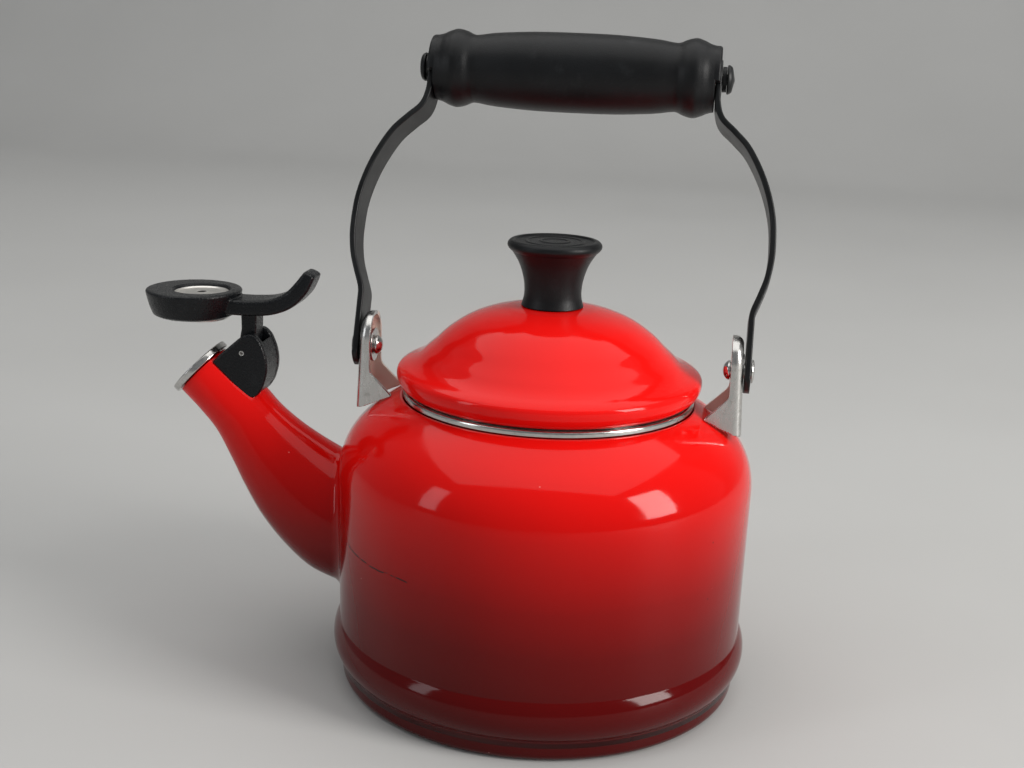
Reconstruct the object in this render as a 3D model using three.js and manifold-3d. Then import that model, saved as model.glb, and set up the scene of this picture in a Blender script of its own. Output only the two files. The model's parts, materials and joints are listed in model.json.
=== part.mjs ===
// A small enamelled stovetop kettle with a whistle on its spout.
// Millimetres, +Z up. The origin is the centre of the flat base, the spout points along -X,
// and the bail handle turns about an axis parallel to X, leaning back towards +Y at rest.
import * as THREE from 'three';
import { mergeVertices } from 'three/addons/utils/BufferGeometryUtils.js';
import Module from 'manifold-3d';

const wasm = await Module();
wasm.setup();

// ---- Driving dimensions ----
const BEAD_RADIUS = 72;
const WALL_RADIUS = 70;
const SHEET = 1.6;
const GAP = 0.3;
const SEAM_HEIGHT = 8.6;
const BEAD_TOP = 21;
const SHOULDER_START = 72;
const RIM_HEIGHT = 101.8;
const MOUTH_RADIUS = 46.6;
const NECK_RADIUS = 49.2;
const BRIM_RADIUS = 51.5;
const KNOB_BASE = 131.4;
const KNOB_TOP = 153.4;
const PIVOT_HEIGHT = 113.3;
const STRAP_AT_PIVOT = 65;
const STRAP_SHEET = 2;
const STRAP_HALF_WIDTH = 8;
const HANDLE_LEAN = THREE.MathUtils.degToRad(21.8);
const GRIP_HEIGHT = 99.4;
const GRIP_HALF_LENGTH = 50;
const RIVET_RADIUS = 2.6;
const TIE_ROD_RADIUS = 2;
const MOUTH_CENTRE = new THREE.Vector2(-124.4, 101.7);
const MOUTH_PITCH = THREE.MathUtils.degToRad(43.7);
const SPOUT_MOUTH_RADIUS = 10.3;
const LIP_RADIUS = 11.7;
const LIP_DEPTH = 2.4;
const WHISTLE_PIVOT = new THREE.Vector2(-105.9, 108.5);
const WHISTLE_LEAN = THREE.MathUtils.degToRad(0.3);
const WHISTLE_BORE = 9.4;
const PIN_RADIUS = 1;
const HOUSING_HALF_WIDTH = 7.6;
const SLOT_HALF_WIDTH = 4.6;
const ARM_HALF_WIDTH = 4.2;
const ROUND = 48;
const SMALL_ROUND = 16;

// ---- Finishes ----
const enamel = { color: 0xc8100e, roughness: 0.18, metalness: 0 };
const steel = { color: 0xb9bab8, roughness: 0.32, metalness: 1 };
const phenolic = { color: 0x17181a, roughness: 0.5, metalness: 0 };
const coatedSteel = { color: 0x1d1f22, roughness: 0.42, metalness: 0.2 };
const brass = { color: 0xb08d45, roughness: 0.35, metalness: 1 };

const kettle = new THREE.Group();

function add(name, geometry, finish, parent = kettle) {
  const shape = tidied(geometry);
  shape.computeVertexNormals();
  const mesh = new THREE.Mesh(shape, new THREE.MeshStandardMaterial(finish));
  mesh.name = name;
  parent.add(mesh);
  return mesh;
}

// ---- Closed solids ----
function surface(positions, triangles) {
  const geometry = new THREE.BufferGeometry();
  geometry.setAttribute('position', new THREE.BufferAttribute(Float32Array.from(positions), 3));
  geometry.setIndex(new THREE.BufferAttribute(Uint32Array.from(triangles), 1));
  return geometry;
}

// The same closed surface with its shared corners merged, the slivers at its poles left out
// and its faces turned outwards.
function tidied(geometry) {
  const bare = geometry.clone();
  bare.deleteAttribute('normal');
  bare.deleteAttribute('uv');
  const merged = mergeVertices(bare, 1e-4);
  const place = merged.getAttribute('position');
  const index = merged.getIndex().array;
  const corner = [new THREE.Vector3(), new THREE.Vector3(), new THREE.Vector3()];
  const triangles = [];
  let volume = 0;
  for (let i = 0; i < index.length; i += 3) {
    const [a, b, c] = [index[i], index[i + 1], index[i + 2]];
    if (a === b || b === c || c === a) continue;
    triangles.push(a, b, c);
    [a, b, c].forEach((vertex, k) => corner[k].fromBufferAttribute(place, vertex));
    volume += corner[0].dot(corner[1].clone().cross(corner[2]));
  }
  if (volume < 0) triangles.reverse();
  return surface(place.array, triangles);
}

function toSolid(geometry) {
  const closed = tidied(geometry);
  return new wasm.Manifold(new wasm.Mesh({
    numProp: 3,
    vertProperties: closed.getAttribute('position').array,
    triVerts: closed.getIndex().array,
  }));
}

function toGeometry(solid) {
  const mesh = solid.getMesh();
  return surface(mesh.vertProperties, mesh.triVerts);
}

function cut(geometry, ...tools) {
  return toGeometry(tools.reduce((left, tool) => left.subtract(toSolid(tool)), toSolid(geometry)));
}

// Solid of revolution about Z from [radius, height] points.
function turned(profile, segments = ROUND) {
  const points = profile.map(([radius, height]) => new THREE.Vector2(radius, height));
  return new THREE.LatheGeometry(points, segments).rotateX(Math.PI / 2);
}

// The same, closed back to its first point, for rings and shells that stay off the axis.
function turnedRing(profile, segments = ROUND) {
  return turned([...profile, profile[0]], segments);
}

function rod(radius, length, segments = SMALL_ROUND) {
  return new THREE.CylinderGeometry(radius, radius, length, segments);
}

// Plate with an outline in the XZ plane, between two Y values.
function plateAcrossY(outline, fromY, toY) {
  const shape = new THREE.Shape(outline.map(([x, z]) => new THREE.Vector2(x, z)));
  const plate = new THREE.ExtrudeGeometry(shape, { depth: toY - fromY, bevelEnabled: false });
  return plate.rotateX(Math.PI / 2).translate(0, toY, 0);
}

// Plate with an outline in the YZ plane, between two X values.
function plateAcrossX(outline, fromX, toX) {
  const shape = new THREE.Shape(outline.map(([y, z]) => new THREE.Vector2(y, z)));
  const plate = new THREE.ExtrudeGeometry(shape, { depth: toX - fromX, bevelEnabled: false });
  return plate.rotateX(Math.PI / 2).rotateZ(Math.PI / 2).translate(fromX, 0, 0);
}

function arc(centreX, centreY, radius, fromDeg, toDeg, steps) {
  return Array.from({ length: steps + 1 }, (_, i) => {
    const angle = THREE.MathUtils.degToRad(fromDeg + (toDeg - fromDeg) * i / steps);
    return [centreX + radius * Math.cos(angle), centreY + radius * Math.sin(angle)];
  });
}

function smooth(points, steps) {
  const curve = new THREE.SplineCurve(points.map(([x, y]) => new THREE.Vector2(x, y)));
  return curve.getPoints(steps).map((p) => [p.x, p.y]);
}

// A line moved sideways by a distance, to the left of its own direction.
function offsetLine(points, distance) {
  return points.map(([x, y], i) => {
    const before = points[Math.max(i - 1, 0)];
    const after = points[Math.min(i + 1, points.length - 1)];
    const length = Math.hypot(after[0] - before[0], after[1] - before[1]);
    return [
      x - distance * (after[1] - before[1]) / length,
      y + distance * (after[0] - before[0]) / length,
    ];
  });
}

// ---- Body: wall, bead and shoulder in one drawn shell ----
const beadSag = BEAD_RADIUS - WALL_RADIUS;
const beadHalf = (BEAD_TOP - SEAM_HEIGHT) / 2;
const beadCurve = (beadHalf ** 2 + beadSag ** 2) / (2 * beadSag);
const beadAngle = THREE.MathUtils.radToDeg(Math.asin(beadHalf / beadCurve));
const shoulder = new THREE.CubicBezierCurve(
  new THREE.Vector2(WALL_RADIUS + 0.4, SHOULDER_START),
  new THREE.Vector2(WALL_RADIUS + 0.4, SHOULDER_START + 12),
  new THREE.Vector2(65, 91.5),
  new THREE.Vector2(NECK_RADIUS + 0.4, RIM_HEIGHT - 2.2),
).getPoints(8).map((p) => [p.x, p.y]);
const bodyOutside = [
  ...arc(BEAD_RADIUS - beadCurve, SEAM_HEIGHT + beadHalf, beadCurve, -beadAngle, beadAngle, 4),
  [WALL_RADIUS + 0.1, 45],
  ...shoulder,
];
const bodyInside = offsetLine(bodyOutside, SHEET);
const bodySection = [...bodyOutside, ...bodyInside.reverse()];

// Everything inside the body's outer surface, grown by a clearance, for trimming what is
// welded to it.
function bodyEnvelope(clearance) {
  const grown = offsetLine(bodyOutside, -clearance);
  return turned([[0, 0], [BEAD_RADIUS, 0], ...grown, [0, grown.at(-1)[1]]]);
}

// ---- Spout: a horn lofted between its upper and lower lines ----
const alongSpout = new THREE.Vector2(-Math.cos(MOUTH_PITCH), Math.sin(MOUTH_PITCH));
const acrossSpout = new THREE.Vector2(alongSpout.y, -alongSpout.x);

// A point given by its distance out of the mouth and its distance above the spout's axis.
function fromMouth(out, above) {
  return [
    MOUTH_CENTRE.x + alongSpout.x * out + acrossSpout.x * above,
    MOUTH_CENTRE.y + alongSpout.y * out + acrossSpout.y * above,
  ];
}

const spoutEnd = -LIP_DEPTH - GAP;
const spoutUpper = [
  fromMouth(spoutEnd, SPOUT_MOUTH_RADIUS), fromMouth(-12, 10.5), fromMouth(-21.5, 11.5),
  [-94.9, 88.9], [-88.5, 83.7], [-82.3, 79.7], [-76.3, 76.3], [-70, 73.1], [-64, 70.2],
];
const spoutLower = [
  fromMouth(spoutEnd, -SPOUT_MOUTH_RADIUS), fromMouth(-12, -10.5), fromMouth(-21.5, -11.5),
  [-111.1, 67.9], [-107, 59.7], [-100.8, 49.2], [-92.2, 39], [-81.9, 30.6], [-70, 26.1],
];
const spoutHalfWidth = [10.3, 10.5, 11.4, 12.3, 13.5, 15, 16.7, 18.3, 19.3];

// Closed loft of ellipses, each spanning an upper and a lower point, grown by a distance.
// Its mouth end is run on outwards by the given length.
function spoutLoft(grow, pastMouth = 0, steps = 10, sides = 18) {
  const upper = smooth(spoutUpper, steps);
  const lower = smooth(spoutLower, steps);
  const width = smooth(spoutHalfWidth.map((half, i) => [i, half]), steps);
  const positions = [];
  const index = [];
  const rings = upper.map(([upX, upZ], i) => {
    const [lowX, lowZ] = lower[i];
    const halfTall = Math.hypot(upX - lowX, upZ - lowZ) / 2;
    const scale = (halfTall + grow) / halfTall;
    const shift = i === 0 ? pastMouth : 0;
    return {
      centre: [(upX + lowX) / 2 + alongSpout.x * shift, (upZ + lowZ) / 2 + alongSpout.y * shift],
      half: [(upX - lowX) / 2 * scale, (upZ - lowZ) / 2 * scale],
      across: width[i][1] + grow,
    };
  });
  rings.forEach(({ centre, half, across }) => {
    for (let k = 0; k < sides; k += 1) {
      const angle = 2 * Math.PI * k / sides;
      const rise = Math.cos(angle);
      positions.push(centre[0] + half[0] * rise, across * Math.sin(angle), centre[1] + half[1] * rise);
    }
  });
  for (let i = 0; i < rings.length - 1; i += 1) {
    for (let k = 0; k < sides; k += 1) {
      const next = (k + 1) % sides;
      const [a, b, c, d] = [i * sides + k, i * sides + next, (i + 1) * sides + k, (i + 1) * sides + next];
      index.push(a, b, c, b, d, c);
    }
  }
  for (const [ring, flip] of [[0, true], [rings.length - 1, false]]) {
    const { centre } = rings[ring];
    const hub = positions.length / 3;
    positions.push(centre[0], 0, centre[1]);
    for (let k = 0; k < sides; k += 1) {
      const [a, b] = [ring * sides + k, ring * sides + (k + 1) % sides];
      index.push(...(flip ? [hub, b, a] : [hub, a, b]));
    }
  }
  const loft = new THREE.BufferGeometry();
  loft.setAttribute('position', new THREE.Float32BufferAttribute(positions, 3));
  loft.setIndex(index);
  return loft;
}

// Turns a piece made about Z so that its Z axis runs out of the spout's mouth.
function ontoMouth(geometry) {
  return geometry.rotateY(-(Math.PI / 2 - MOUTH_PITCH)).translate(MOUTH_CENTRE.x, 0, MOUTH_CENTRE.y);
}

function buildBody() {
  const spoutBore = spoutLoft(-SHEET, 4);
  add('body_shell', cut(turnedRing(bodySection), spoutBore), enamel);

  const upstand = WALL_RADIUS - SHEET - GAP;
  add('base_pan', turned([
    [0, 0], [60, 0], ...arc(63.6, 5, 5, -90, 0, 5).map(([r, z]) => [r + 0.1, z]),
    [upstand, SEAM_HEIGHT - 1.2], [upstand, 17], [upstand - 1.4, 17],
    [upstand - 1.4, 7], [61.5, 1.6], [0, 1.6],
  ]), enamel);

  const bandBottom = RIM_HEIGHT - 2.2 + GAP + 0.1;
  const bandCentre = (bandBottom + RIM_HEIGHT) / 2;
  const bandHalf = (RIM_HEIGHT - bandBottom) / 2;
  add('rim_band', turnedRing([
    ...arc(NECK_RADIUS - bandHalf, bandCentre, bandHalf, -90, 90, 4),
    [MOUTH_RADIUS, RIM_HEIGHT], [MOUTH_RADIUS, bandBottom - 3],
    [MOUTH_RADIUS + 0.6, bandBottom - 3], [MOUTH_RADIUS + 0.6, bandBottom],
  ]), steel);

  add('spout', cut(spoutLoft(0), spoutLoft(-SHEET, 4), bodyEnvelope(GAP)), enamel);

  const sleeveRadius = SPOUT_MOUTH_RADIUS - SHEET - GAP;
  const sleeveBore = sleeveRadius - 0.8;
  add('spout_mouth_ring', ontoMouth(turnedRing([
    [sleeveBore, 0], [LIP_RADIUS - 0.5, 0], [LIP_RADIUS, -0.5], [LIP_RADIUS, -LIP_DEPTH + 0.5],
    [LIP_RADIUS - 0.5, -LIP_DEPTH], [sleeveRadius, -LIP_DEPTH],
    [sleeveRadius, -LIP_DEPTH - 5], [sleeveBore, -LIP_DEPTH - 5],
  ], 28)), steel);
}

// ---- Handle brackets: pressed plates with a turned-in rim that widens into two gussets ----
const BRACKET_FACE = 64.2;
const BRACKET_SHEET = 1.2;
const BRACKET_HALF_WIDTH = 7.4;
const BRACKET_TOP = 124;
const BRACKET_FLANGE = 3.6;
const BRACKET_LEAN = THREE.MathUtils.degToRad(2.4);
const BRACKET_FOOT = 92.6;

function bracketOutline(halfWidth, bottom) {
  return [
    [-halfWidth, bottom], [halfWidth, bottom],
    ...arc(0, BRACKET_TOP - BRACKET_HALF_WIDTH, halfWidth, 0, 180, 10),
  ];
}

// The plate leans in a little towards its top, turning about its foot.
function leaned(geometry) {
  return geometry
    .translate(-BRACKET_FACE, 0, -BRACKET_FOOT)
    .rotateY(-BRACKET_LEAN)
    .translate(BRACKET_FACE, 0, BRACKET_FOOT);
}

function buildBracket(side) {
  const face = BRACKET_FACE;
  const outside = plateAcrossX(bracketOutline(BRACKET_HALF_WIDTH, 80), face - 12, face);
  const hollow = plateAcrossX(
    bracketOutline(BRACKET_HALF_WIDTH - BRACKET_SHEET, 79),
    face - 20,
    face - BRACKET_SHEET,
  );
  const clearance = plateAcrossY([
    [face - 30, 96.8], [face - 11.4, 98.3], [face - 4.2, 105.2], [face - BRACKET_FLANGE, 106.4],
    [face - BRACKET_FLANGE, 130], [face - 30, 130],
  ], -20, 20);
  const below = plateAcrossY([
    [face - 30, 70], [face + 5, 70], [face + 5, BRACKET_FOOT - 2.5],
    [face, BRACKET_FOOT], [face - 11.4, BRACKET_FOOT + 5.6], [face - 30, BRACKET_FOOT + 5.6],
  ], -20, 20);
  const hole = rod(RIVET_RADIUS + GAP, 30).rotateZ(Math.PI / 2).translate(face, 0, PIVOT_HEIGHT);
  const width = BRACKET_HALF_WIDTH - 0.1;
  const weldPad = new THREE.BoxGeometry(5.6, 2 * width, 30).translate(face - 7.4, 0, 90);
  const plate = toSolid(leaned(outside)).subtract(toSolid(leaned(hollow)))
    .subtract(toSolid(clearance)).subtract(toSolid(below));
  const pad = toSolid(weldPad).intersect(toSolid(bodyEnvelope(GAP + BRACKET_SHEET)));
  const bracket = plate.add(pad).subtract(toSolid(bodyEnvelope(GAP))).subtract(toSolid(hole));
  add(`bracket_${side}`, toGeometry(bracket), steel, sideGroups[side]);
}

// Parts on the right are built at +X; the left ones are the same parts turned half round.
const sideGroups = {};
for (const [side, angle] of [['right', 0], ['left', Math.PI]]) {
  sideGroups[side] = new THREE.Group();
  sideGroups[side].rotation.z = angle;
  kettle.add(sideGroups[side]);
}

// Turned piece with its axis along X and its profile as [radius, x] points.
function turnedAlongX(profile, segments = SMALL_ROUND) {
  return turned(profile, segments).rotateY(Math.PI / 2);
}

function buildPivot(side) {
  const parent = sideGroups[side];
  const bore = RIVET_RADIUS + GAP;
  const plateFace = BRACKET_FACE - (PIVOT_HEIGHT - BRACKET_FOOT) * Math.sin(BRACKET_LEAN);
  const washerRadius = 5.7;
  const washerFace = plateFace - BRACKET_SHEET - 2 * GAP;
  const headFace = washerFace - 1 - GAP;
  const headRadius = 3.2;
  const tailFace = STRAP_AT_PIVOT + STRAP_SHEET + GAP;
  const atPivot = (geometry) => geometry.translate(0, 0, PIVOT_HEIGHT);
  const washer = (from, to) => atPivot(turnedAlongX([
    [bore, from], [washerRadius, from], [washerRadius, to], [bore, to], [bore, from],
  ]));
  const dome = arc(0, 0, 1, 180, 90, 4)
    .map(([depth, radius]) => [radius * headRadius, headFace + depth * 2.4]);
  add(`pivot_rivet_${side}`, atPivot(turnedAlongX([
    ...dome,
    [RIVET_RADIUS, headFace], [RIVET_RADIUS, tailFace], [4, tailFace],
    [3.7, tailFace + 0.6], [2.4, tailFace + 0.9], [0, tailFace + 1],
  ])), steel, parent);
  add(`pivot_washer_${side}`, washer(washerFace - 1, washerFace), steel, parent);
  add(`pivot_spring_washer_${side}`, washer(plateFace + 2 * GAP, STRAP_AT_PIVOT - GAP), steel, parent);
}

// ---- Bail handle, built upright about its pivot axis and leaned back ----
const handle = new THREE.Group();
handle.position.z = PIVOT_HEIGHT;
handle.rotation.x = -HANDLE_LEAN;
kettle.add(handle);

// Outer face of a strap as [x, height above the pivot].
const strapOuterFace = [
  [67, -7.4], [67, 4], [67, 14], [67.2, 18.5], [69.1, 24], [71, 30], [72.1, 37], [72.1, 44], [71.4, 51],
  [69.4, 59], [66.2, 67], [61.6, 75], [56.6, 80.3], [52.2, 84.6], [50.6, 89.5], [50.4, 95], [50.4, 104.8],
];

// Half width of a strap at a height above the pivot: it narrows gently towards the grip.
function strapHalfWidth(height) {
  return THREE.MathUtils.mapLinear(height, -8, 104.8, STRAP_HALF_WIDTH, 6.6);
}

function buildStrap(side) {
  const outer = smooth(strapOuterFace, 28);
  const inner = offsetLine(outer, STRAP_SHEET);
  const profile = plateAcrossY([...outer, ...inner.reverse()], -12, 12);
  const heights = [0, 20, 40, 60, 80, GRIP_HEIGHT];
  const topHalf = strapHalfWidth(GRIP_HEIGHT);
  const outline = [
    ...arc(0, 0.6, STRAP_HALF_WIDTH, 180, 360, 10),
    ...heights.slice(1, -1).map((height) => [strapHalfWidth(height), height]),
    ...arc(0, GRIP_HEIGHT, topHalf, 0, 180, 8),
    ...heights.slice(1, -1).reverse().map((height) => [-strapHalfWidth(height), height]),
  ];
  const front = plateAcrossX(outline, 40, 80);
  const lowHole = rod(RIVET_RADIUS + GAP, 10).rotateZ(Math.PI / 2).translate(STRAP_AT_PIVOT, 0, 0);
  const highHole = rod(TIE_ROD_RADIUS + GAP, 10).rotateZ(Math.PI / 2).translate(49, 0, GRIP_HEIGHT);
  const strap = toGeometry(
    toSolid(profile).intersect(toSolid(front)).subtract(toSolid(lowHole)).subtract(toSolid(highHole)),
  );
  if (side === 'left') strap.rotateZ(Math.PI);
  add(`handle_strap_${side}`, strap, coatedSteel, handle);
}

// Each end of the grip has a slot for the strap's round top, and below this step under the
// grip's axis the end is cut back to the strap's inner face over its full width.
const GRIP_STEP = 4;

function buildGrip() {
  const bore = TIE_ROD_RADIUS + GAP;
  const half = smooth([
    [13.7, 0], [13.5, 14], [12.6, 27], [11.7, 33.5], [11.7, 35.6], [12.8, 38.2], [13.4, 41.2],
    [12.7, 43.8], [11.7, 46], [11.2, 47.8],
  ], 13);
  const end = [[11.1, GRIP_HALF_LENGTH - 0.8], [10.4, GRIP_HALF_LENGTH], [bore, GRIP_HALF_LENGTH]];
  const right = [...half, ...end];
  const left = right.slice(1).reverse().map(([radius, x]) => [radius, -x]);
  const barrel = turned([...left, ...right, [bore, -GRIP_HALF_LENGTH]], 24).rotateY(Math.PI / 2);
  const slot = (side) => {
    const low = 50.4 - STRAP_SHEET - GAP;
    const width = strapHalfWidth(GRIP_HEIGHT) + GAP + 0.3;
    const outline = [
      [-20, -20], [20, -20], [20, -GRIP_STEP], [width, -GRIP_STEP],
      ...arc(0, 0, width, 0, 180, 10), [-width, -GRIP_STEP], [-20, -GRIP_STEP],
    ];
    return plateAcrossX(outline, side > 0 ? low : -60, side > 0 ? 60 : -low);
  };
  add('grip', cut(barrel, slot(1), slot(-1)).translate(0, 0, GRIP_HEIGHT), phenolic, handle);

  const rodEnd = 52.4;
  const nutRadius = 5;
  const washerRadius = 4.3;
  add('grip_tie_rod', turnedAlongX([
    [0, -rodEnd], [TIE_ROD_RADIUS, -rodEnd], [TIE_ROD_RADIUS, rodEnd], [0, rodEnd],
  ]).translate(0, 0, GRIP_HEIGHT), steel, handle);

  for (const [side, turn] of [['right', 0], ['left', Math.PI]]) {
    const washerFace = 50.4 + GAP;
    const nutFace = washerFace + 1.3 + GAP;
    const hollow = TIE_ROD_RADIUS + GAP;
    const place = (geometry) => geometry.rotateZ(turn).translate(0, 0, GRIP_HEIGHT);
    add(`grip_washer_${side}`, place(turnedAlongX([
      [hollow, washerFace], [washerRadius, washerFace], [washerRadius, nutFace - GAP],
      [hollow, nutFace - GAP],
      [hollow, washerFace],
    ])), coatedSteel, handle);
    const dome = arc(0, 0, 1, 0, 90, 4)
      .map(([radius, rise]) => [radius * nutRadius, nutFace + 0.4 + rise * 2]);
    add(`grip_dome_nut_${side}`, place(turnedAlongX([
      [0, rodEnd + GAP], [hollow, rodEnd + GAP], [hollow, nutFace], [nutRadius, nutFace],
      ...dome.slice(0, -1), [0, nutFace + 2.4],
    ])), coatedSteel, handle);
  }
}

// ---- Lid ----
const lidOutside = [
  [48.4, 102.4], [50, 103.6], [51.1, 105.4], [BRIM_RADIUS, 107.6], [51, 109.1], [49.4, 110.2],
  [46.6, 111.5], [44.2, 113], [41.6, 115.4], [38.8, 117.9], [34.9, 121.6], [28.7, 125.8], [22, 128.6], [15, 130.4],
];

function buildLid() {
  const outside = smooth(lidOutside, 13);
  const inside = offsetLine(outside, SHEET).reverse();
  const screwHole = 2.4;
  add('lid_shell', turnedRing([
    ...outside, [screwHole, KNOB_BASE - GAP], [screwHole, KNOB_BASE - GAP - SHEET], ...inside,
  ]), enamel);

  const skirtRadius = MOUTH_RADIUS - 0.8;
  add('lid_skirt', turnedRing([
    [skirtRadius, 95], [skirtRadius, 103.4], [47.2, 104.4], [46.4, 105.2], [skirtRadius - 1, 104.2],
    [skirtRadius - 1, 95],
  ]), steel);

  const knobSide = smooth([
    [10.4, KNOB_BASE], [9.6, 134.5], [9.7, 138.5], [10.6, 142.5], [12, 146], [14.2, 149.4],
  ], 8);
  const insertRadius = 4;
  const insertTop = KNOB_BASE + 12;
  add('lid_knob', turned([
    [insertRadius + GAP, KNOB_BASE], ...knobSide, [15, 150.1], [15.7, 151.4], [15.3, 152.6],
    [14.4, KNOB_TOP - 0.2], [12.9, KNOB_TOP - 0.2], [12.4, KNOB_TOP - 0.7], [0, KNOB_TOP - 0.7],
    [0, insertTop + GAP], [insertRadius + GAP, insertTop + GAP], [insertRadius + GAP, KNOB_BASE],
  ], 32), phenolic);
  add('knob_insert', turnedRing([
    [2.3, KNOB_BASE + 0.1], [insertRadius, KNOB_BASE + 0.1], [insertRadius, insertTop], [2.3, insertTop],
  ], SMALL_ROUND), brass);
  const underLid = KNOB_BASE - GAP - SHEET;
  const washerTop = underLid - GAP;
  add('knob_washer', turnedRing([
    [2.3, washerTop - 1], [6, washerTop - 1], [6, washerTop], [2.3, washerTop],
  ], SMALL_ROUND), steel);
  const headTop = washerTop - 1 - GAP;
  add('knob_screw', turned([
    [0, headTop - 2.4], [2.4, headTop - 2.4], [4, headTop - 1], [4, headTop], [2, headTop],
    [2, insertTop - 1], [0, insertTop - 1],
  ], SMALL_ROUND), steel);
}

// ---- Whistle housing, clamped on the spout ----
// Outline of a cheek as [out of the mouth, above the spout's axis].
const cheek = [
  [-3.6, 8], [-3.6, 11], [-4.4, 20.8], [-5, 23.8], [-7, 25.6], [-10.2, 25.6], [-14.6, 23.6], [-17.6, 21.4],
  [-19.9, 18.8], [-22.1, 14.6], [-22.8, 11], [-22.4, 9], [-21.4, 8],
];
const slotOutline = [
  [2, 12.4], [2, 30], [-11, 30], [-11, 22.8], [-13.6, 21.5], [-16.4, 19.1], [-18.4, 16.3], [-19.4, 12.4],
];

function buildHousing() {
  const place = (outline) => outline.map(([out, above]) => fromMouth(out, above));
  const block = plateAcrossY(place(cheek), -HOUSING_HALF_WIDTH, HOUSING_HALF_WIDTH);
  const slot = plateAcrossY(place(slotOutline), -SLOT_HALF_WIDTH, SLOT_HALF_WIDTH);
  const pinHole = rod(PIN_RADIUS + GAP, 30).translate(WHISTLE_PIVOT.x, 0, WHISTLE_PIVOT.y);
  const screwAt = -14.8;
  const upright = (geometry, out, above) => {
    const [x, z] = fromMouth(out, above);
    return geometry.rotateX(Math.PI / 2).rotateY(MOUTH_PITCH).translate(x, 0, z);
  };
  const screwHole = upright(rod(1.5 + GAP, 12), screwAt, 11.5);
  const housing = cut(block, slot, pinHole, spoutLoft(GAP, 6), screwHole);
  add('whistle_housing', housing, phenolic);

  add('whistle_pin', rod(PIN_RADIUS, 2 * HOUSING_HALF_WIDTH - 0.4)
    .translate(WHISTLE_PIVOT.x, 0, WHISTLE_PIVOT.y), steel);

  const [screwX, screwZ] = fromMouth(screwAt, 11.3);
  add('housing_screw', turned([
    [0, 0], [1.5, 0], [1.5, 1.4], [2.6, 1.4], [2.6, 2.2], [1.6, 2.8], [0, 2.9],
  ], SMALL_ROUND).rotateY(MOUTH_PITCH).translate(screwX, 0, screwZ), steel);

  const leaf = place([
    [-3.8, 12.7], [-3.8, 13], [-11.8, 13], [-11.8, 12.7],
  ]);
  add('whistle_leaf_spring', plateAcrossY(leaf, -3.2, 3.2), steel);
}

// ---- Whistle, built upright about its pivot pin and leaned ----
const whistle = new THREE.Group();
whistle.position.set(WHISTLE_PIVOT.x, 0, WHISTLE_PIVOT.y);
whistle.rotation.y = -WHISTLE_LEAN;
kettle.add(whistle);

const RING_BOTTOM = 10.9;
const RING_TOP = 20.4;
const RING_CENTRE = -19.3;
const BORE_CENTRE = -16.6;

function buildWhistle() {
  const ring = turned([
    [0, RING_BOTTOM], [12.4, RING_BOTTOM], [13.7, RING_BOTTOM + 0.8], [16.3, RING_TOP - 1.4],
    [16.5, RING_TOP - 0.8], [15.9, RING_TOP], [0, RING_TOP],
  ], 32).translate(RING_CENTRE, 0, 0);
  const leverUnder = smooth([[1.9, 12.9], [9.4, 13.6], [15.7, 15.6], [20.6, 19.3], [24, 24.3]], 8);
  const leverOver = smooth([[21.1, 28.9], [18.1, 24.7], [15, 21.3], [9.7, 18.9], [3, 18.2]], 8);
  const lever = plateAcrossY([
    [-14, 12.9], ...leverUnder, [25, 26.9], [24.5, 28.7], [23, 29.4], ...leverOver, [-14, 18.2],
  ], -6.6, 6.6);
  const taper = plateAcrossZ([
    [-20, -6.6], [6, -6.5], [16, -5.7], [22, -4.7], [24.4, -3.2], [25.2, 0],
    [24.4, 3.2], [22, 4.7], [16, 5.7], [6, 6.5], [-20, 6.6],
  ], 10, 35);
  const arm = plateAcrossY([
    [-2.8, 0], [3.4, 0], [4.2, 8], [4.3, 14], [-1.1, 14], [-1.1, 8],
  ], -ARM_HALF_WIDTH, ARM_HALF_WIDTH);
  const hub = rod(4, 2 * ARM_HALF_WIDTH);
  const bore = turned([
    [0, RING_BOTTOM - 2], [WHISTLE_BORE, RING_BOTTOM - 2], [WHISTLE_BORE, RING_TOP - 0.6],
    [WHISTLE_BORE + 0.5, RING_TOP + 1], [0, RING_TOP + 1],
  ], 28).translate(BORE_CENTRE, 0, 0);
  const pinHole = rod(PIN_RADIUS + GAP, 20);
  const moulding = toSolid(lever).intersect(toSolid(taper))
    .add(toSolid(ring)).add(toSolid(arm)).add(toSolid(hub))
    .subtract(toSolid(bore)).subtract(toSolid(pinHole));
  add('whistle_lever', toGeometry(moulding), phenolic, whistle);

  const fit = WHISTLE_BORE - GAP;
  const inBore = (geometry) => geometry.translate(BORE_CENTRE, 0, 0);
  add('whistle_outer_disc', inBore(turnedRing([
    [1.3, 18.6], [fit, 18.2], [fit, 19], [1.3, 19.4],
  ], 28)), steel, whistle);
  add('whistle_spacer_ring', inBore(turnedRing([
    [fit - 1, 12.4], [fit, 12.4], [fit, 17.9], [fit - 1, 17.9],
  ], 28)), steel, whistle);
  add('whistle_inner_disc', inBore(turnedRing([
    [1.3, 10.3], [fit, 10.3], [fit, 12.1], [fit - 0.8, 12.1], [fit - 0.8, 11.1], [1.3, 11.1],
  ], 28)), steel, whistle);
}

// Plate with an outline in the XY plane, between two Z values.
function plateAcrossZ(outline, fromZ, toZ) {
  const shape = new THREE.Shape(outline.map(([x, y]) => new THREE.Vector2(x, y)));
  return new THREE.ExtrudeGeometry(shape, { depth: toZ - fromZ, bevelEnabled: false }).translate(0, 0, fromZ);
}

buildBody();
for (const side of ['left', 'right']) {
  buildBracket(side);
  buildPivot(side);
  buildStrap(side);
}
buildGrip();
buildLid();
buildHousing();
buildWhistle();

export default kettle;
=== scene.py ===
import json
import math

import bmesh
import bpy
import numpy as np
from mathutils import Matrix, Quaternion, Vector


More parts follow.
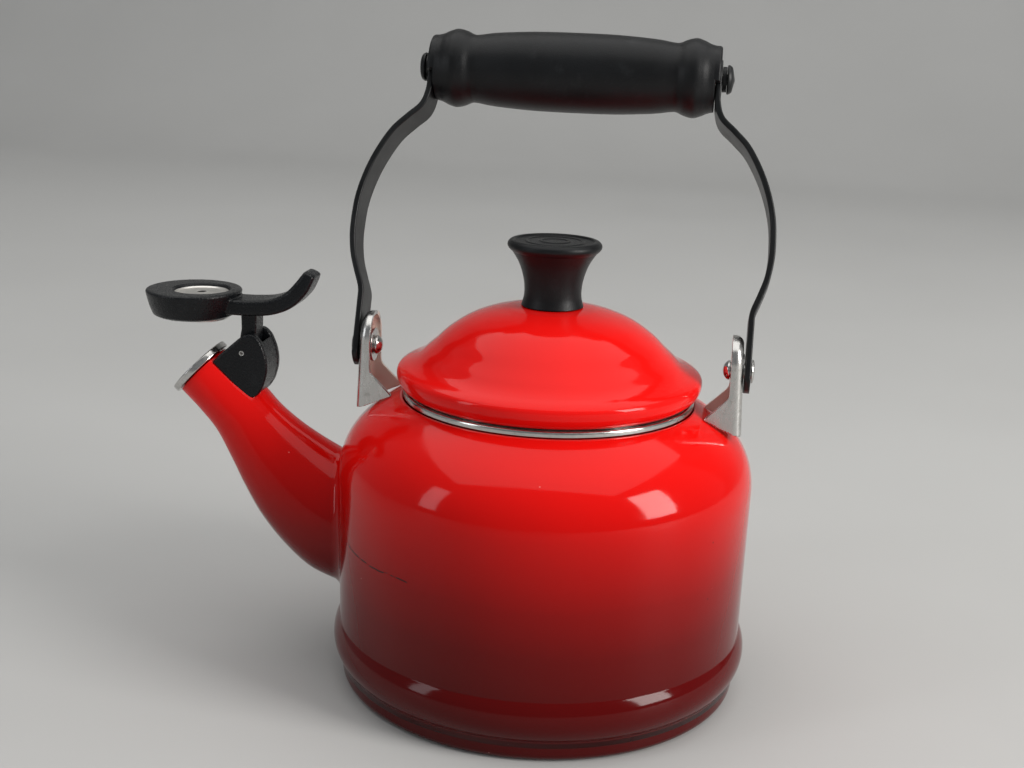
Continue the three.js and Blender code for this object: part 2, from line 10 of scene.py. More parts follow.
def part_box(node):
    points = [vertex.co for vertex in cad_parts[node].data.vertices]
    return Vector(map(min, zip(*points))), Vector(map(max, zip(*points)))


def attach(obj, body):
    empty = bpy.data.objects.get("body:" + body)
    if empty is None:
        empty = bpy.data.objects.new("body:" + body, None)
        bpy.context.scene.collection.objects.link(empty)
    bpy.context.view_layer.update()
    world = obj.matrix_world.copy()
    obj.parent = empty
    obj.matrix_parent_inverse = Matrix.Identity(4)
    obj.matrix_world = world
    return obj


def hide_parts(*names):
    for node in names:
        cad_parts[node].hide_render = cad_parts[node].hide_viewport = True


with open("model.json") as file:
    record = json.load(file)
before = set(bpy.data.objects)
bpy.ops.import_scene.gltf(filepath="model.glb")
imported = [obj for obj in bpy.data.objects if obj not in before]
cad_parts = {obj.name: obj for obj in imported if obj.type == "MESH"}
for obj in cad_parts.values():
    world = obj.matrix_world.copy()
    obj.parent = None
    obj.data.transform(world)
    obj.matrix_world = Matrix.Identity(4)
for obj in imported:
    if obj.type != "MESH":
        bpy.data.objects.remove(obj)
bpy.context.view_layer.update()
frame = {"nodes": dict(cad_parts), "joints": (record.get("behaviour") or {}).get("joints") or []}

# A small enamelled stovetop kettle with a whistle on its spout.
# Shapes are worked out in millimetres in the part's own frame: the origin is the centre of the
# base, +Z is up, the spout points along -X and the handle leans back towards +Y.

MM = 0.001
joints = {joint["name"]: joint for joint in frame["joints"]}


def box_mm(node):
    """Lowest and highest corner of a CAD node, in millimetres."""
    low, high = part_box(node)
    return np.array(low) / MM, np.array(high) / MM


# ---- Driving sizes ----
# Body
SHEET = 1.6
GAP = 0.3
BEAD_RADIUS = box_mm("body_shell")[1][1]
WALL_RADIUS = BEAD_RADIUS - 2
SEAM_HEIGHT = box_mm("body_shell")[0][2]
SHELL_TOP = box_mm("body_shell")[1][2]
BEAD_TOP = SEAM_HEIGHT + 12.4
BEAD_SAG = BEAD_RADIUS - WALL_RADIUS
BEAD_HALF = (BEAD_TOP - SEAM_HEIGHT) / 2
BEAD_CURVE = (BEAD_HALF**2 + BEAD_SAG**2) / (2 * BEAD_SAG)
BEAD_ANGLE = math.degrees(math.asin(BEAD_HALF / BEAD_CURVE))
BEAD_CENTRE = (BEAD_RADIUS - BEAD_CURVE, SEAM_HEIGHT + BEAD_HALF)
WALL_START = 30
WALL_END = 68
WALL_SPREAD = 0.35
SHOULDER_START = 72
UPSTAND_TOP = 17
RIM_HEIGHT = box_mm("rim_band")[1][2]
NECK_RADIUS = box_mm("rim_band")[1][1]
MOUTH_RADIUS = NECK_RADIUS - 2.6

# Spout
MOUTH_CENTRE = np.array([-124.4, 0, 101.7])
MOUTH_PITCH = math.radians(43.7)
SPOUT_MOUTH_RADIUS = 10.3
LIP_RADIUS = 11.7
LIP_DEPTH = 2.4
SLEEVE_LENGTH = 5
SPOUT_END = -LIP_DEPTH - GAP
SPOUT_FILLET = 3.2

# Brackets and pivots
PIVOT_HEIGHT = joints["handle_swing"]["pos_m"][2] / MM
RIVET_RADIUS = 2.6
BRACKET_FACE = 64.2
BRACKET_SHEET = 1.2
BRACKET_BEND = 1.6
BRACKET_HALF_WIDTH = 7.4
BRACKET_TOP = 124
BRACKET_FOOT = 92.6
BRACKET_LEAN = math.radians(2.4)

# Handle
GRIP_LOW, GRIP_HIGH = box_mm("grip")
GRIP_HALF_LENGTH = GRIP_HIGH[0]
GRIP_Y, GRIP_Z = (GRIP_LOW[1:] + GRIP_HIGH[1:]) / 2
HANDLE_LEAN = math.atan2(GRIP_Y, GRIP_Z - PIVOT_HEIGHT)
GRIP_HEIGHT = math.hypot(GRIP_Y, GRIP_Z - PIVOT_HEIGHT)
STRAP_AT_PIVOT = 65
STRAP_SHEET = 2
STRAP_HALF_WIDTH = 8
STRAP_TOP_HALF_WIDTH = 6.6
STRAP_UP_TO_GRIP = 50.4
NOTCH_RADIUS = 7.1
NOTCH_STEP = -4
TIE_ROD_RADIUS = 2
TIE_ROD_HALF_LENGTH = 52.4

# Lid
KNOB_BASE, KNOB_TOP = box_mm("lid_knob")[0][2], box_mm("lid_knob")[1][2]
KNOB_RADIUS = box_mm("lid_knob")[1][1]
KNOB_SOCKET_RADIUS = 4.3
KNOB_SOCKET_TOP = KNOB_BASE + 11
UNDER_LID = KNOB_BASE - GAP - SHEET

# Whistle and its housing
WHISTLE_PIVOT = np.array(joints["whistle_flip"]["pos_m"]) / MM
WHISTLE_LEAN = math.radians(0.3)
CHEEK_OUTSIDE = 7.6
CHEEK_INSIDE = 4.6
PIN_RADIUS = 1
PIN_HOLE_RADIUS = 1.05
HUB_RADIUS = 4
HUB_HALF_WIDTH = 4.2
RING_CENTRE = -19.3
RING_BOTTOM, RING_TOP = 10.9, 20.4
RING_BORE_CENTRE = -16.6
RING_BORE = 9.4


# ---- Lines and outlines ----
def spline(points, count):
    """A smooth line through points: on each span the cubic whose end slopes are half the way
    between the points on either side, the first and last points counted twice."""
    points = np.asarray(points, float)
    padded = np.concatenate([points[:1], points, points[-1:]])
    place = np.linspace(0, len(points) - 1, count + 1)
    span = np.minimum(place.astype(int), len(points) - 2)
    t = (place - span)[:, None]
    before, start, end, after = (padded[span + k] for k in range(4))
    slope_in, slope_out = (end - before) / 2, (after - start) / 2
    return (
        (2 * t**3 - 3 * t**2 + 1) * start + (t**3 - 2 * t**2 + t) * slope_in
        + (3 * t**2 - 2 * t**3) * end + (t**3 - t**2) * slope_out
    )


def eased(corners, radius, steps=6):
    """An outline through corners with each inner corner replaced by a parabola that touches
    both sides at the same distance from the corner."""
    corners = np.asarray(corners, float)
    t = np.linspace(0, 1, steps + 1)[:, None]
    radii = np.broadcast_to(radius, len(corners))
    line = [corners[:1]]
    for before, here, after, reach in zip(corners, corners[1:], corners[2:], radii[1:]):
        room = 0.49 * min(np.linalg.norm(before - here), np.linalg.norm(after - here))
        reach = min(reach, room)
        first = here + (before - here) / np.linalg.norm(before - here) * reach
        last = here + (after - here) / np.linalg.norm(after - here) * reach
        line.append((1 - t) ** 2 * first + 2 * t * (1 - t) * here + t**2 * last)
    line.append(corners[-1:])
    return np.concatenate(line)


def eased_ring(corners, radius, steps=6):
    """A closed outline with every corner eased."""
    corners = np.asarray(corners, float)
    radii = np.broadcast_to(radius, len(corners))
    middle = (corners[0] + corners[-1]) / 2
    whole = np.concatenate([[middle], corners, [middle]])
    return eased(whole, np.concatenate([[0], radii, [0]]), steps)[:-1]


def flat_ring(bore, rim, low, high):
    """Outline of a washer with slightly eased edges."""
    return eased_ring([[bore, low], [rim, low], [rim, high], [bore, high]], 0.25)


def round_bar(radius, half_length, ease):
    """Outline of a round bar with flat ends and eased edges, centred on the origin."""
    ends = [[0, -half_length], [radius, -half_length], [radius, half_length], [0, half_length]]
    return eased(ends, [0, ease, ease, 0])


def arc(centre, radius, start, stop, steps=16):
    """Points of a circle about centre between two angles in degrees."""
    angle = np.radians(np.linspace(start, stop, steps + 1))
    return np.asarray(centre) + radius * np.stack([np.cos(angle), np.sin(angle)], 1)


def beside(line, distance):
    """A line moved to the left of its own direction by a distance."""
    along = np.gradient(line, axis=0)
    along /= np.linalg.norm(along, axis=1, keepdims=True)
    return line + distance * np.stack([-along[:, 1], along[:, 0]], 1)


# ---- Frames that the sub-parts are worked out in ----
def turn_about_y(angle):
    """Rotation that carries +Z towards +X by an angle."""
    c, s = math.cos(angle), math.sin(angle)
    return np.array([[c, 0, s], [0, 1, 0], [-s, 0, c]])


def along_x(points):
    """Z becomes X: for pieces turned about the handle's pivot axis or the grip's axis."""
    return points @ turn_about_y(math.pi / 2).T


def on_handle(points):
    """From the upright handle, with its pivot axis at the origin, to the leaning one."""
    c, s = math.cos(HANDLE_LEAN), math.sin(HANDLE_LEAN)
    lean = np.array([[1, 0, 0], [0, c, s], [0, -s, c]])
    return points @ lean.T + [0, 0, PIVOT_HEIGHT]


def on_whistle(points):
    """From the upright whistle, with its pivot pin at the origin, to its place."""
    return points @ turn_about_y(-WHISTLE_LEAN).T + WHISTLE_PIVOT


def out_of_mouth(points):
    """Z becomes the spout's axis, pointing out of its mouth, with the lip's face at 0."""
    return points @ turn_about_y(-(math.pi / 2 - MOUTH_PITCH)).T + MOUTH_CENTRE


def on_cheek(points):
    """X is the distance out of the mouth, Y stays, Z is the height above the spout's axis."""
    return out_of_mouth(points[..., [2, 1, 0]])


def half_round(points):
    """The left-hand twin of a right-hand piece: turned half round about Z."""
    return points * [-1, -1, 1]


# ---- Meshes ----
def surface(name, grid, closed=(False, False)):
    """A mesh of the quads between neighbouring points of a grid, joined round in each closed
    direction. Points that fall together, as at a pole, are made one."""
    rows, columns = grid.shape[:2]
    index = np.arange(rows * columns).reshape(rows, columns)
    if closed[0]:
        index = np.concatenate([index, index[:1]])
    if closed[1]:
        index = np.concatenate([index, index[:, :1]], 1)
    quads = np.stack([index[:-1, :-1], index[1:, :-1], index[1:, 1:], index[:-1, 1:]], -1)
    faces = quads.size // 4
    mesh = bpy.data.meshes.new(name)
    mesh.vertices.add(rows * columns)
    mesh.vertices.foreach_set("co", (grid * MM).astype(np.float32).ravel())
    mesh.loops.add(quads.size)
    mesh.loops.foreach_set("vertex_index", quads.astype(np.int32).ravel())
    mesh.polygons.add(faces)
    mesh.polygons.foreach_set("loop_start", np.arange(0, quads.size, 4, dtype=np.int32))
    mesh.polygons.foreach_set("loop_total", np.full(faces, 4, np.int32))
    mesh.update(calc_edges=True)
    piece = bpy.data.objects.new(name, mesh)
    bpy.context.scene.collection.objects.link(piece)
    mend(piece, any(closed))
    return piece


def mend(piece, solid):
    """Merges points that fall together and drops what that flattens. A solid's open flat ends
    are capped and its faces turned outwards."""
    work = bmesh.new()
    work.from_mesh(piece.data)
    bmesh.ops.remove_doubles(work, verts=work.verts, dist=2e-6)
    bmesh.ops.dissolve_degenerate(work, edges=work.edges, dist=1e-7)
    if solid:
        open_ends = [edge for edge in work.edges if edge.is_boundary]
        bmesh.ops.holes_fill(work, edges=open_ends, sides=0)
        bmesh.ops.recalc_face_normals(work, faces=work.faces)
    work.to_mesh(piece.data)
    work.free()
    piece.data.polygons.foreach_set("use_smooth", np.ones(len(piece.data.polygons), bool))


def turned(name, outline, place=lambda points: points, around=128, ring=False):
    """Surface of revolution: a point at radius r and height h goes round as
    (r cos a, r sin a, h). A ring's outline closes on itself."""
    outline = np.asarray(outline, float)
    angle = np.linspace(0, 2 * math.pi, around, endpoint=False)[:, None]
    radius, height = outline[:, 0], outline[:, 1]
    grid = np.stack([radius * np.cos(angle), radius * np.sin(angle), height + 0 * angle], -1)
    return surface(name, place(grid), (True, ring))


def slab(name, outline, low, high, edge, place):
    """Solid between two Y values with a closed outline in XZ. Near each face the outline draws
    in by edge (1 - sin a) while Y moves by edge (1 - cos a), so the edges are quarter rounds."""
    outline = np.asarray(outline, float)
    following = np.roll(outline, -1, 0)
    along = following - np.roll(outline, 1, 0)
    along /= np.linalg.norm(along, axis=1, keepdims=True)
    inward = np.stack([-along[:, 1], along[:, 0]], 1)
    twice_area = (outline[:, 0] * following[:, 1] - outline[:, 1] * following[:, 0]).sum()
    if twice_area < 0:
        inward = -inward
    angle = np.radians(np.linspace(0, 90, 6))
    draw = edge * (1 - np.sin(angle))
    climb = edge * (1 - np.cos(angle))
    draw = np.concatenate([draw, draw[::-1]])
    level = np.concatenate([low + climb, high - climb[::-1]])
    flat = outline[None] + draw[:, None, None] * inward[None]
    grid = np.stack([flat[..., 0], level[:, None] + 0 * flat[..., 0], flat[..., 1]], -1)
    return surface(name, place(grid), (False, True))


def bar(name, centre, normal, half_width, half_thick, radius, place):
    """A flat bar carried along a centre line in XZ: its section is a rectangle with rounded
    corners, half_width to either side in Y and half_thick to either side along the normal."""
    steps = 5
    corner = np.radians(np.linspace(0, 90, steps))
    sign_y = np.repeat([1, -1, -1, 1], steps)
    sign_n = np.repeat([1, 1, -1, -1], steps)
    angle = np.concatenate([corner + quarter * math.pi / 2 for quarter in range(4)])
    room = np.minimum(radius, np.minimum(half_width, half_thick))[:, None]
    across = sign_y * (half_width[:, None] - room) + room * np.cos(angle)
    lift = sign_n * (half_thick[:, None] - room) + room * np.sin(angle)
    x = centre[:, :1] + normal[:, :1] * lift
    z = centre[:, 1:] + normal[:, 1:] * lift
    return surface(name, place(np.stack([x, across, z], -1)), (False, True))


def carve(piece, tool):
    """Takes the tool's volume out of the piece and removes the tool."""
    cut = piece.modifiers.new("carve", "BOOLEAN")
    cut.object = tool
    cut.solver = "EXACT"
    settle(piece)
    bpy.data.objects.remove(tool)


def settle(piece):
    """Makes what the piece's modifiers give its own mesh."""
    bpy.context.view_layer.update()
    seen = piece.evaluated_get(bpy.context.evaluated_depsgraph_get())
    mesh = bpy.data.meshes.new_from_object(seen)
    piece.modifiers.clear()
    piece.data = mesh


def moulded(name, pieces, grain, soften):
    """One moulding from overlapping solids: rebuilt on a fine even grid and softened, which
    leaves small fillets where they meet."""
    first = pieces[0]
    work = bmesh.new()
    for piece in pieces:
        work.from_mesh(piece.data)
    work.to_mesh(first.data)
    work.free()
    for piece in pieces[1:]:
        bpy.data.objects.remove(piece)
    first.name = name
    remesh = first.modifiers.new("grid", "REMESH")
    remesh.mode = "VOXEL"
    remesh.voxel_size = grain * MM
    relax = first.modifiers.new("soften", "SMOOTH")
    relax.iterations = soften
    settle(first)
    first.data.polygons.foreach_set("use_smooth", np.ones(len(first.data.polygons), bool))
    return first


def even_normals(piece):
    """Lets the large flat faces keep their flat shading beside small rounded edges."""
    piece.modifiers.new("even normals", "WEIGHTED_NORMAL").keep_sharp = True


# ---- Finishes ----
class Flow:
    """One output in a finish's node tree. Arithmetic on it adds Math nodes."""

    def __init__(self, finish, output):
        self.finish = finish
        self.output = output

    def math(self, operation, *values):
        """A Math node on plain values and flows."""
        return self.finish.node("ShaderNodeMath", {"operation": operation}, dict(enumerate(values)))

    def __add__(self, other):
        return self.math("ADD", self, other)

    def __sub__(self, other):
        return self.math("SUBTRACT", self, other)

    def __rsub__(self, other):
        return self.math("SUBTRACT", other, self)

    def __mul__(self, other):
        return self.math("MULTIPLY", self, other)

    def __truediv__(self, other):
        return self.math("DIVIDE", self, other)

    def __rtruediv__(self, other):
        return self.math("DIVIDE", other, self)

    def __pow__(self, other):
        return self.math("POWER", self, other)

    def __abs__(self):
        return self.math("ABSOLUTE", self)

    __radd__ = __add__
    __rmul__ = __mul__


class Finish:
    """A material on the Principled shader. Plain values are given by socket name."""

    def __init__(self, name, plain):
        self.material = bpy.data.materials.new(name)
        self.material.use_nodes = True
        self.tree = self.material.node_tree
        self.shader = self.tree.nodes["Principled BSDF"]
        for socket, value in plain.items():
            self.shader.inputs[socket].default_value = value
        self.spot = self.node("ShaderNodeTexCoord", {}, {}, "Object")

    def node(self, kind, settings, sockets, output=0):
        """A node of a kind: its settings first, then a value or a link for each socket."""
        made = self.tree.nodes.new(kind)
        for key, value in settings.items():
            if key == "stops":
                self.set_stops(made.color_ramp, value)
            else:
                setattr(made, key, value)
        for key, value in sockets.items():
            if isinstance(value, Flow):
                self.tree.links.new(value.output, made.inputs[key])
            else:
                made.inputs[key].default_value = value
        return Flow(self, made.outputs[output])

    def set_stops(self, ramp, stops):
        """Gives a ramp its stops. It starts with two of its own."""
        for position, colour in stops[2:]:
            ramp.elements.new(position)
        for element, (position, colour) in zip(ramp.elements, stops):
            element.position = position
            element.color = (*colour, 1)

    def axes(self, spot=None):
        """The spot's three coordinates in metres."""
        first = self.node("ShaderNodeSeparateXYZ", {}, {0: spot or self.spot})
        return [Flow(self, output) for output in first.output.node.outputs]

    def stretched(self, scale):
        """The spot with each axis scaled, for patterns that are longer one way."""
        return self.node("ShaderNodeMapping", {}, {"Vector": self.spot, "Scale": scale})

    def noise(self, scale, detail=2.0, rough=0.5, spot=None):
        """A cloudy pattern from 0 to 1, scale times to the metre."""
        sockets = {"Vector": spot or self.spot, "Scale": scale}
        sockets.update({"Detail": detail, "Roughness": rough})
        return self.node("ShaderNodeTexNoise", {}, sockets, "Fac")

    def dots(self, scale, size, share):
        """Round specks: near the centres of a share of random cells."""
        sockets = {"Vector": self.spot, "Scale": scale}
        near = self.node("ShaderNodeTexVoronoi", {}, sockets, "Distance")
        lot = self.node("ShaderNodeTexVoronoi", {}, sockets, "Color")
        chosen = self.step(self.node("ShaderNodeSeparateColor", {}, {0: lot}), share, share - 0.02)
        return self.step(near, size, size * 0.6) * chosen

    def step(self, value, start, stop, low=0.0, high=1.0):
        """A smooth climb from low to high as value goes from start to stop."""
        sockets = {0: value, 1: start, 2: stop, 3: low, 4: high}
        return self.node("ShaderNodeMapRange", {"interpolation_type": "SMOOTHSTEP"}, sockets)

    def ramp(self, value, stops):
        """The colour that the stops give a value."""
        return self.node("ShaderNodeValToRGB", {"stops": stops}, {0: value})

    def blend(self, share, under, over):
        """A colour mixed from under towards over."""
        sockets = {0: share}
        for socket, colour in ((6, under), (7, over)):
            sockets[socket] = colour if isinstance(colour, Flow) else (*colour, 1)
        return self.node("ShaderNodeMix", {"data_type": "RGBA"}, sockets, 2)

    def feed(self, socket, flow):
        """Links a flow to one of the shader's sockets."""
        self.tree.links.new(flow.output, self.shader.inputs[socket])

    def bump(self, height, strength, depth_mm):
        """Relief in the shading, from a height of 0 to 1."""
        sockets = {"Height": height, "Strength": strength, "Distance": depth_mm * MM}
        self.feed("Normal", self.node("ShaderNodeBump", {}, sockets))


def red_enamel():
    """Gloss enamel that is bright on the lid and shoulder and sinks to maroon at the foot, with
    a faint ripple, small specks and one fine dark scratch on the wall."""
    paint = Finish("red_enamel", {"IOR": 1.5, "Specular IOR Level": 0.20})
    fade_height, scratch_height = 0.11, 0.0536
    x, y, z = paint.axes()
    drift = paint.noise(14, 3) - 0.5
    height = (z + drift * 0.006 + (paint.noise(300, 3, 0.6) - 0.5) * 0.0016) / fade_height
    colour = paint.ramp(height, [
        (0.00, (0.060, 0.0004, 0.0005)), (0.18, (0.088, 0.0005, 0.0005)),
        (0.32, (0.130, 0.0006, 0.0005)), (0.46, (0.240, 0.0009, 0.0006)),
        (0.58, (0.410, 0.0016, 0.0010)), (0.70, (0.590, 0.0028, 0.0018)),
        (0.84, (0.740, 0.0052, 0.0038)), (1.00, (0.800, 0.0072, 0.0058)),
    ])
    bearing = x.math("ARCTAN2", y, x)
    waver = (paint.noise(55, 2) - 0.5) * 0.004
    off_line = abs(z + waver - scratch_height)
    in_span = paint.step(bearing, -2.62, -2.58) * paint.step(bearing, -2.04, -2.10)
    broken = paint.step(paint.noise(420, 1), 0.40, 0.47)
    scratch = paint.step(off_line, 0.00034, 0.00012) * in_span * broken
    colour = paint.blend(scratch, colour, (0.012, 0.006, 0.006))
    pale = paint.dots(170, 0.05, 0.10)
    colour = paint.blend(pale * 0.5, colour, (0.75, 0.35, 0.32))
    dark = paint.dots(120, 0.045, 0.08)
    colour = paint.blend(dark * 0.8, colour, (0.03, 0.004, 0.004))
    paint.feed("Base Color", colour)
    smear = paint.noise(38, 4, 0.62)
    film = paint.step(smear, 0.42, 0.75, 0.075, 0.17)
    paint.feed("Roughness", film + scratch * 0.4)
    ripple = paint.noise(70, 2) + paint.noise(900, 2) * 0.05 - scratch * 0.25
    paint.bump(ripple, 0.10, 0.35)
    return paint.material


def phenolic(name, tint, rough, grain, worn, depth_mm):
    """Moulded phenolic: near black with a fine grain whose pale flecks are painted glints, and grey
    where it has been handled.
    """
    paint = Finish(name, {"IOR": 1.5, "Specular IOR Level": 0.24})
    fine = paint.noise(grain, 2, 0.7)
    cloud = paint.noise(45, 4, 0.6)
    base = paint.blend(paint.step(cloud, 0.3, 0.75), tint, tuple(1.7 * part for part in tint))
    rubbed = paint.step(paint.noise(110, 5, 0.65), 0.56, 0.78) * worn
    base = paint.blend(rubbed, base, (0.030, 0.032, 0.034))
    # Painted glints: pale flecks on the peaks of the fine grain stand in for the sparkle of
    # highlights.
    painted_glints = paint.step(fine, 0.66, 0.74)
    paint.feed("Base Color", paint.blend(painted_glints * 0.25, base, (0.08, 0.085, 0.09)))
    paint.feed("Roughness", paint.step(fine, 0.35, 0.7, rough + 0.08, rough - 0.08) - rubbed * 0.06)
    paint.bump(fine + cloud * 0.2, 0.7, depth_mm)
    return paint.material


def coated_steel():
    """Black coating over steel: a soft gloss, rubbed paler in patches and along fine lines."""
    paint = Finish("coated_steel", {"IOR": 1.5, "Specular IOR Level": 0.26})
    cloud = paint.noise(60, 4, 0.6)
    lines = paint.noise(90, 3, 0.6, paint.stretched((8, 1, 0.5)))
    base = paint.blend(paint.step(cloud, 0.3, 0.7), (0.004, 0.0046, 0.005), (0.009, 0.0098, 0.0105))
    rubbed = paint.step(lines, 0.62, 0.74) * 0.25
    paint.feed("Base Color", paint.blend(rubbed, base, (0.06, 0.063, 0.066)))
    paint.feed("Roughness", paint.step(cloud, 0.3, 0.7, 0.30, 0.42))
    paint.bump(paint.noise(1400, 2) + lines * 0.6, 0.18, 0.05)
    return paint.material


def stainless(name, rough, rear_reflection, grain_scale):
    """Stainless steel with a drawn grain and dull spots. It can also carry a pale cream painted
    reflection over its rear side, towards +Y, laid on thicker low down."""
    paint = Finish(name, {"Specular IOR Level": 0.5})
    _, y, z = paint.axes()
    grain = paint.noise(700, 3, 0.6, paint.stretched(grain_scale))
    spots = paint.noise(420, 4, 0.65)
    cloud = paint.noise(240, 4, 0.65)
    base = paint.blend(paint.step(grain, 0.3, 0.7), (0.50, 0.49, 0.475), (0.60, 0.59, 0.57))
    dull = paint.step(spots, 0.56, 0.72) * 0.45
    base = paint.blend(dull, base, (0.28, 0.27, 0.25))
    low = paint.step(z, 0.112, 0.100)
    # Painted reflection: the rear side, towards +Y, turns pale cream and less metallic, more so low
    # down.
    film = paint.step(cloud + low * 0.25, 0.38, 0.56) * paint.step(y, 0.002, 0.005) * rear_reflection
    paint.feed("Base Color", paint.blend(film, base, (0.86, 0.82, 0.70)))
    paint.feed("Metallic", 1.0 - film * 0.9)
    paint.feed("Roughness", paint.step(grain, 0.3, 0.7, rough - 0.04, rough + 0.06) + film * 0.3)
    paint.bump(grain * 0.4 + spots, 0.12, 0.04)
    return paint.material


def spun_steel():
    """Pale steel with rings left by the lathe round the whistle's own axis, and painted shade in
    the hole at its centre."""
    paint = Finish("spun_steel", {})
    hub = on_whistle(np.array([RING_BORE_CENTRE, 0, 0])) * MM
    centred = paint.node("ShaderNodeMapping", {}, {"Vector": paint.spot, "Location": tuple(-hub)})
    x, y, _ = paint.axes(centred)
    radius = (x * x + y * y) ** 0.5
    rings = paint.noise(1, 2, 0.6, paint.node("ShaderNodeCombineXYZ", {}, {0: radius * 5200}))
    cloud = paint.noise(160, 4, 0.6)
    base = paint.blend(paint.step(rings, 0.3, 0.7), (0.70, 0.68, 0.64), (0.86, 0.84, 0.80))
    base = paint.blend(paint.step(cloud, 0.5, 0.75, 0, 0.35), base, (0.52, 0.47, 0.42))
    # Painted shade in the hole: near the centre the steel turns near black and loses its metal.
    painted_hole_shade = paint.step(radius, 0.0018, 0.0014)
    paint.feed("Base Color", paint.blend(painted_hole_shade, base, (0.012, 0.011, 0.010)))
    paint.feed("Metallic", 1.0 - painted_hole_shade)
    paint.feed("Roughness", paint.step(cloud, 0.3, 0.7, 0.30, 0.46) + painted_hole_shade * 0.4)
    paint.bump(rings, 0.25, 0.03)
    return paint.material


def turned_brass():
    """Brass with fine turning marks."""
    paint = Finish("turned_brass", {"Metallic": 1.0})
    marks = paint.noise(300, 3, 0.6, paint.stretched((1, 1, 14)))
    paint.feed("Base Color", paint.blend(marks, (0.55, 0.40, 0.17), (0.72, 0.56, 0.28)))
    paint.feed("Roughness", paint.step(marks, 0.3, 0.7, 0.28, 0.42))
    paint.bump(marks, 0.2, 0.04)
    return paint.material


def dress(piece, finish):
    """Gives a piece its finish in place of what it had."""
    piece.data.materials.clear()
    piece.data.materials.append(finish)


def keep(piece, body, node, finish):
    """Gives a piece its finish, says which body it rides on and hides the node that it stands for."""
    dress(piece, finish)
    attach(piece, body)
    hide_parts(node)


enamel = red_enamel()
black = phenolic("phenolic", (0.0038, 0.0042, 0.0048), 0.38, 2600, 0.35, 0.10)
sparkling = phenolic("grained_phenolic", (0.0038, 0.0044, 0.0052), 0.26, 1300, 0.30, 0.30)
coated = coated_steel()
pressed = stainless("pressed_stainless", 0.24, 0.85, (1, 1, 0.3))
bright = stainless("bright_stainless", 0.17, 0.0, (1, 1, 2))
spun = spun_steel()
brass = turned_brass()


# ---- Body ----
def shoulder_line(count=60):
    """The shoulder: a cubic curve that leaves the wall upright and reaches the neck."""
    pull = [[WALL_RADIUS + 0.4, SHOULDER_START], [WALL_RADIUS + 0.4, SHOULDER_START + 12],
            [65, 91.5], [NECK_RADIUS + 0.4, SHELL_TOP]]
    t = np.linspace(0, 1, count + 1)[:, None]
    a, b, c, d = np.array(pull, float)
    return (1 - t) ** 3 * a + 3 * t * (1 - t) ** 2 * b + 3 * t**2 * (1 - t) * c + t**3 * d


def body_line():
    """The shell's outside from the seam to the neck: bead, a tight crease, wall, shoulder."""
    bead = arc(BEAD_CENTRE, BEAD_CURVE, -BEAD_ANGLE, BEAD_ANGLE, 28)
    foot_of_wall = [WALL_RADIUS - 0.1, BEAD_TOP + 0.1]
    crease = eased([bead[-2], foot_of_wall, [WALL_RADIUS, WALL_START]], 0.7)[1:]
    wall = np.stack([np.linspace(WALL_RADIUS, WALL_RADIUS + WALL_SPREAD, 20),
                     np.linspace(WALL_START, WALL_END, 20)], 1)
    return np.concatenate([bead[:-1], crease[:-1], wall, shoulder_line()])


def lip_line():
    """Below the bead the shell draws in, in a soft hollow, down to the top of the foot."""
    bead_end = [BEAD_CENTRE[0] + BEAD_CURVE * math.cos(math.radians(BEAD_ANGLE)), SEAM_HEIGHT]
    inwards_and_down = np.array([[1.08, 3.4], [1.28, 2.4], [1.05, 1.5], [0.6, 0.8]])
    hollow = [WALL_RADIUS, SEAM_HEIGHT] - inwards_and_down
    return spline([*hollow, bead_end], 24)[:-1]


def body_radius(height):
    """Radius of the shell's outside at a height."""
    line = body_line()
    return np.interp(height, line[:, 1], line[:, 0])


def from_mouth(out, above):
    """XZ of a point given by its distance out of the mouth and above the spout's axis."""
    return on_cheek(np.array([out, 0, above], float))[[0, 2]]


def spout_lines(count):
    """Upper and lower lines of the spout in XZ and its half width, from mouth to root."""
    upper = [from_mouth(SPOUT_END, SPOUT_MOUTH_RADIUS), from_mouth(-12, 10.5),
             from_mouth(-21.5, 11.5), [-94.9, 88.9], [-88.5, 83.7], [-82.3, 79.7],
             [-76.3, 76.3], [-70, 73.1], [-64, 70.2]]
    lower = [from_mouth(SPOUT_END, -SPOUT_MOUTH_RADIUS), from_mouth(-12, -10.5),
             from_mouth(-21.5, -11.5), [-111.1, 67.9], [-107, 59.7], [-100.8, 49.2],
             [-92.2, 39], [-81.9, 30.6], [-70, 26.1]]
    width = [[10.3], [10.5], [11.4], [12.3], [13.5], [15], [16.7], [18.3], [19.3]]
    return spline(upper, count), spline(lower, count), spline(width, count)[:, 0]


def spout_skin(grow, count=240, around=96):
    """Rings of the spout, grown by a distance: each ring is an ellipse whose tall axis runs
    from the lower line to the upper one."""
    upper, lower, width = spout_lines(count)
    angle = np.linspace(0, 2 * math.pi, around, endpoint=False)
    middle = (upper + lower) / 2
    half = (upper - lower) / 2
    tall = np.linalg.norm(half, axis=1)
    half = half * ((tall + grow) / tall)[:, None]
    x = middle[:, :1] + half[:, :1] * np.cos(angle)
    z = middle[:, 1:] + half[:, 1:] * np.cos(angle)
    return np.stack([x, (width[:, None] + grow) * np.sin(angle), z], -1)


def ended_on_body(skin, count, depth):
    """The skin's long lines, each run only as far as the body's surface moved in by depth, with
    the points drawn closer together towards that end."""
    rows, around = skin.shape[:2]
    clear = np.hypot(skin[..., 0], skin[..., 1]) - body_radius(skin[..., 2]) + depth
    last = np.argmax(clear < 0, 0)
    last[last == 0] = rows - 1
    column = np.arange(around)
    before, after = clear[last - 1, column], clear[last, column]
    stop = last - 1 + before / (before - after)
    share = np.sin(np.linspace(0, math.pi / 2, count))
    place = stop[None, :] * share[:, None]
    low = np.minimum(place.astype(int), rows - 2)
    part = (place - low)[..., None]
    return skin[low, column] * (1 - part) + skin[low + 1, column] * part


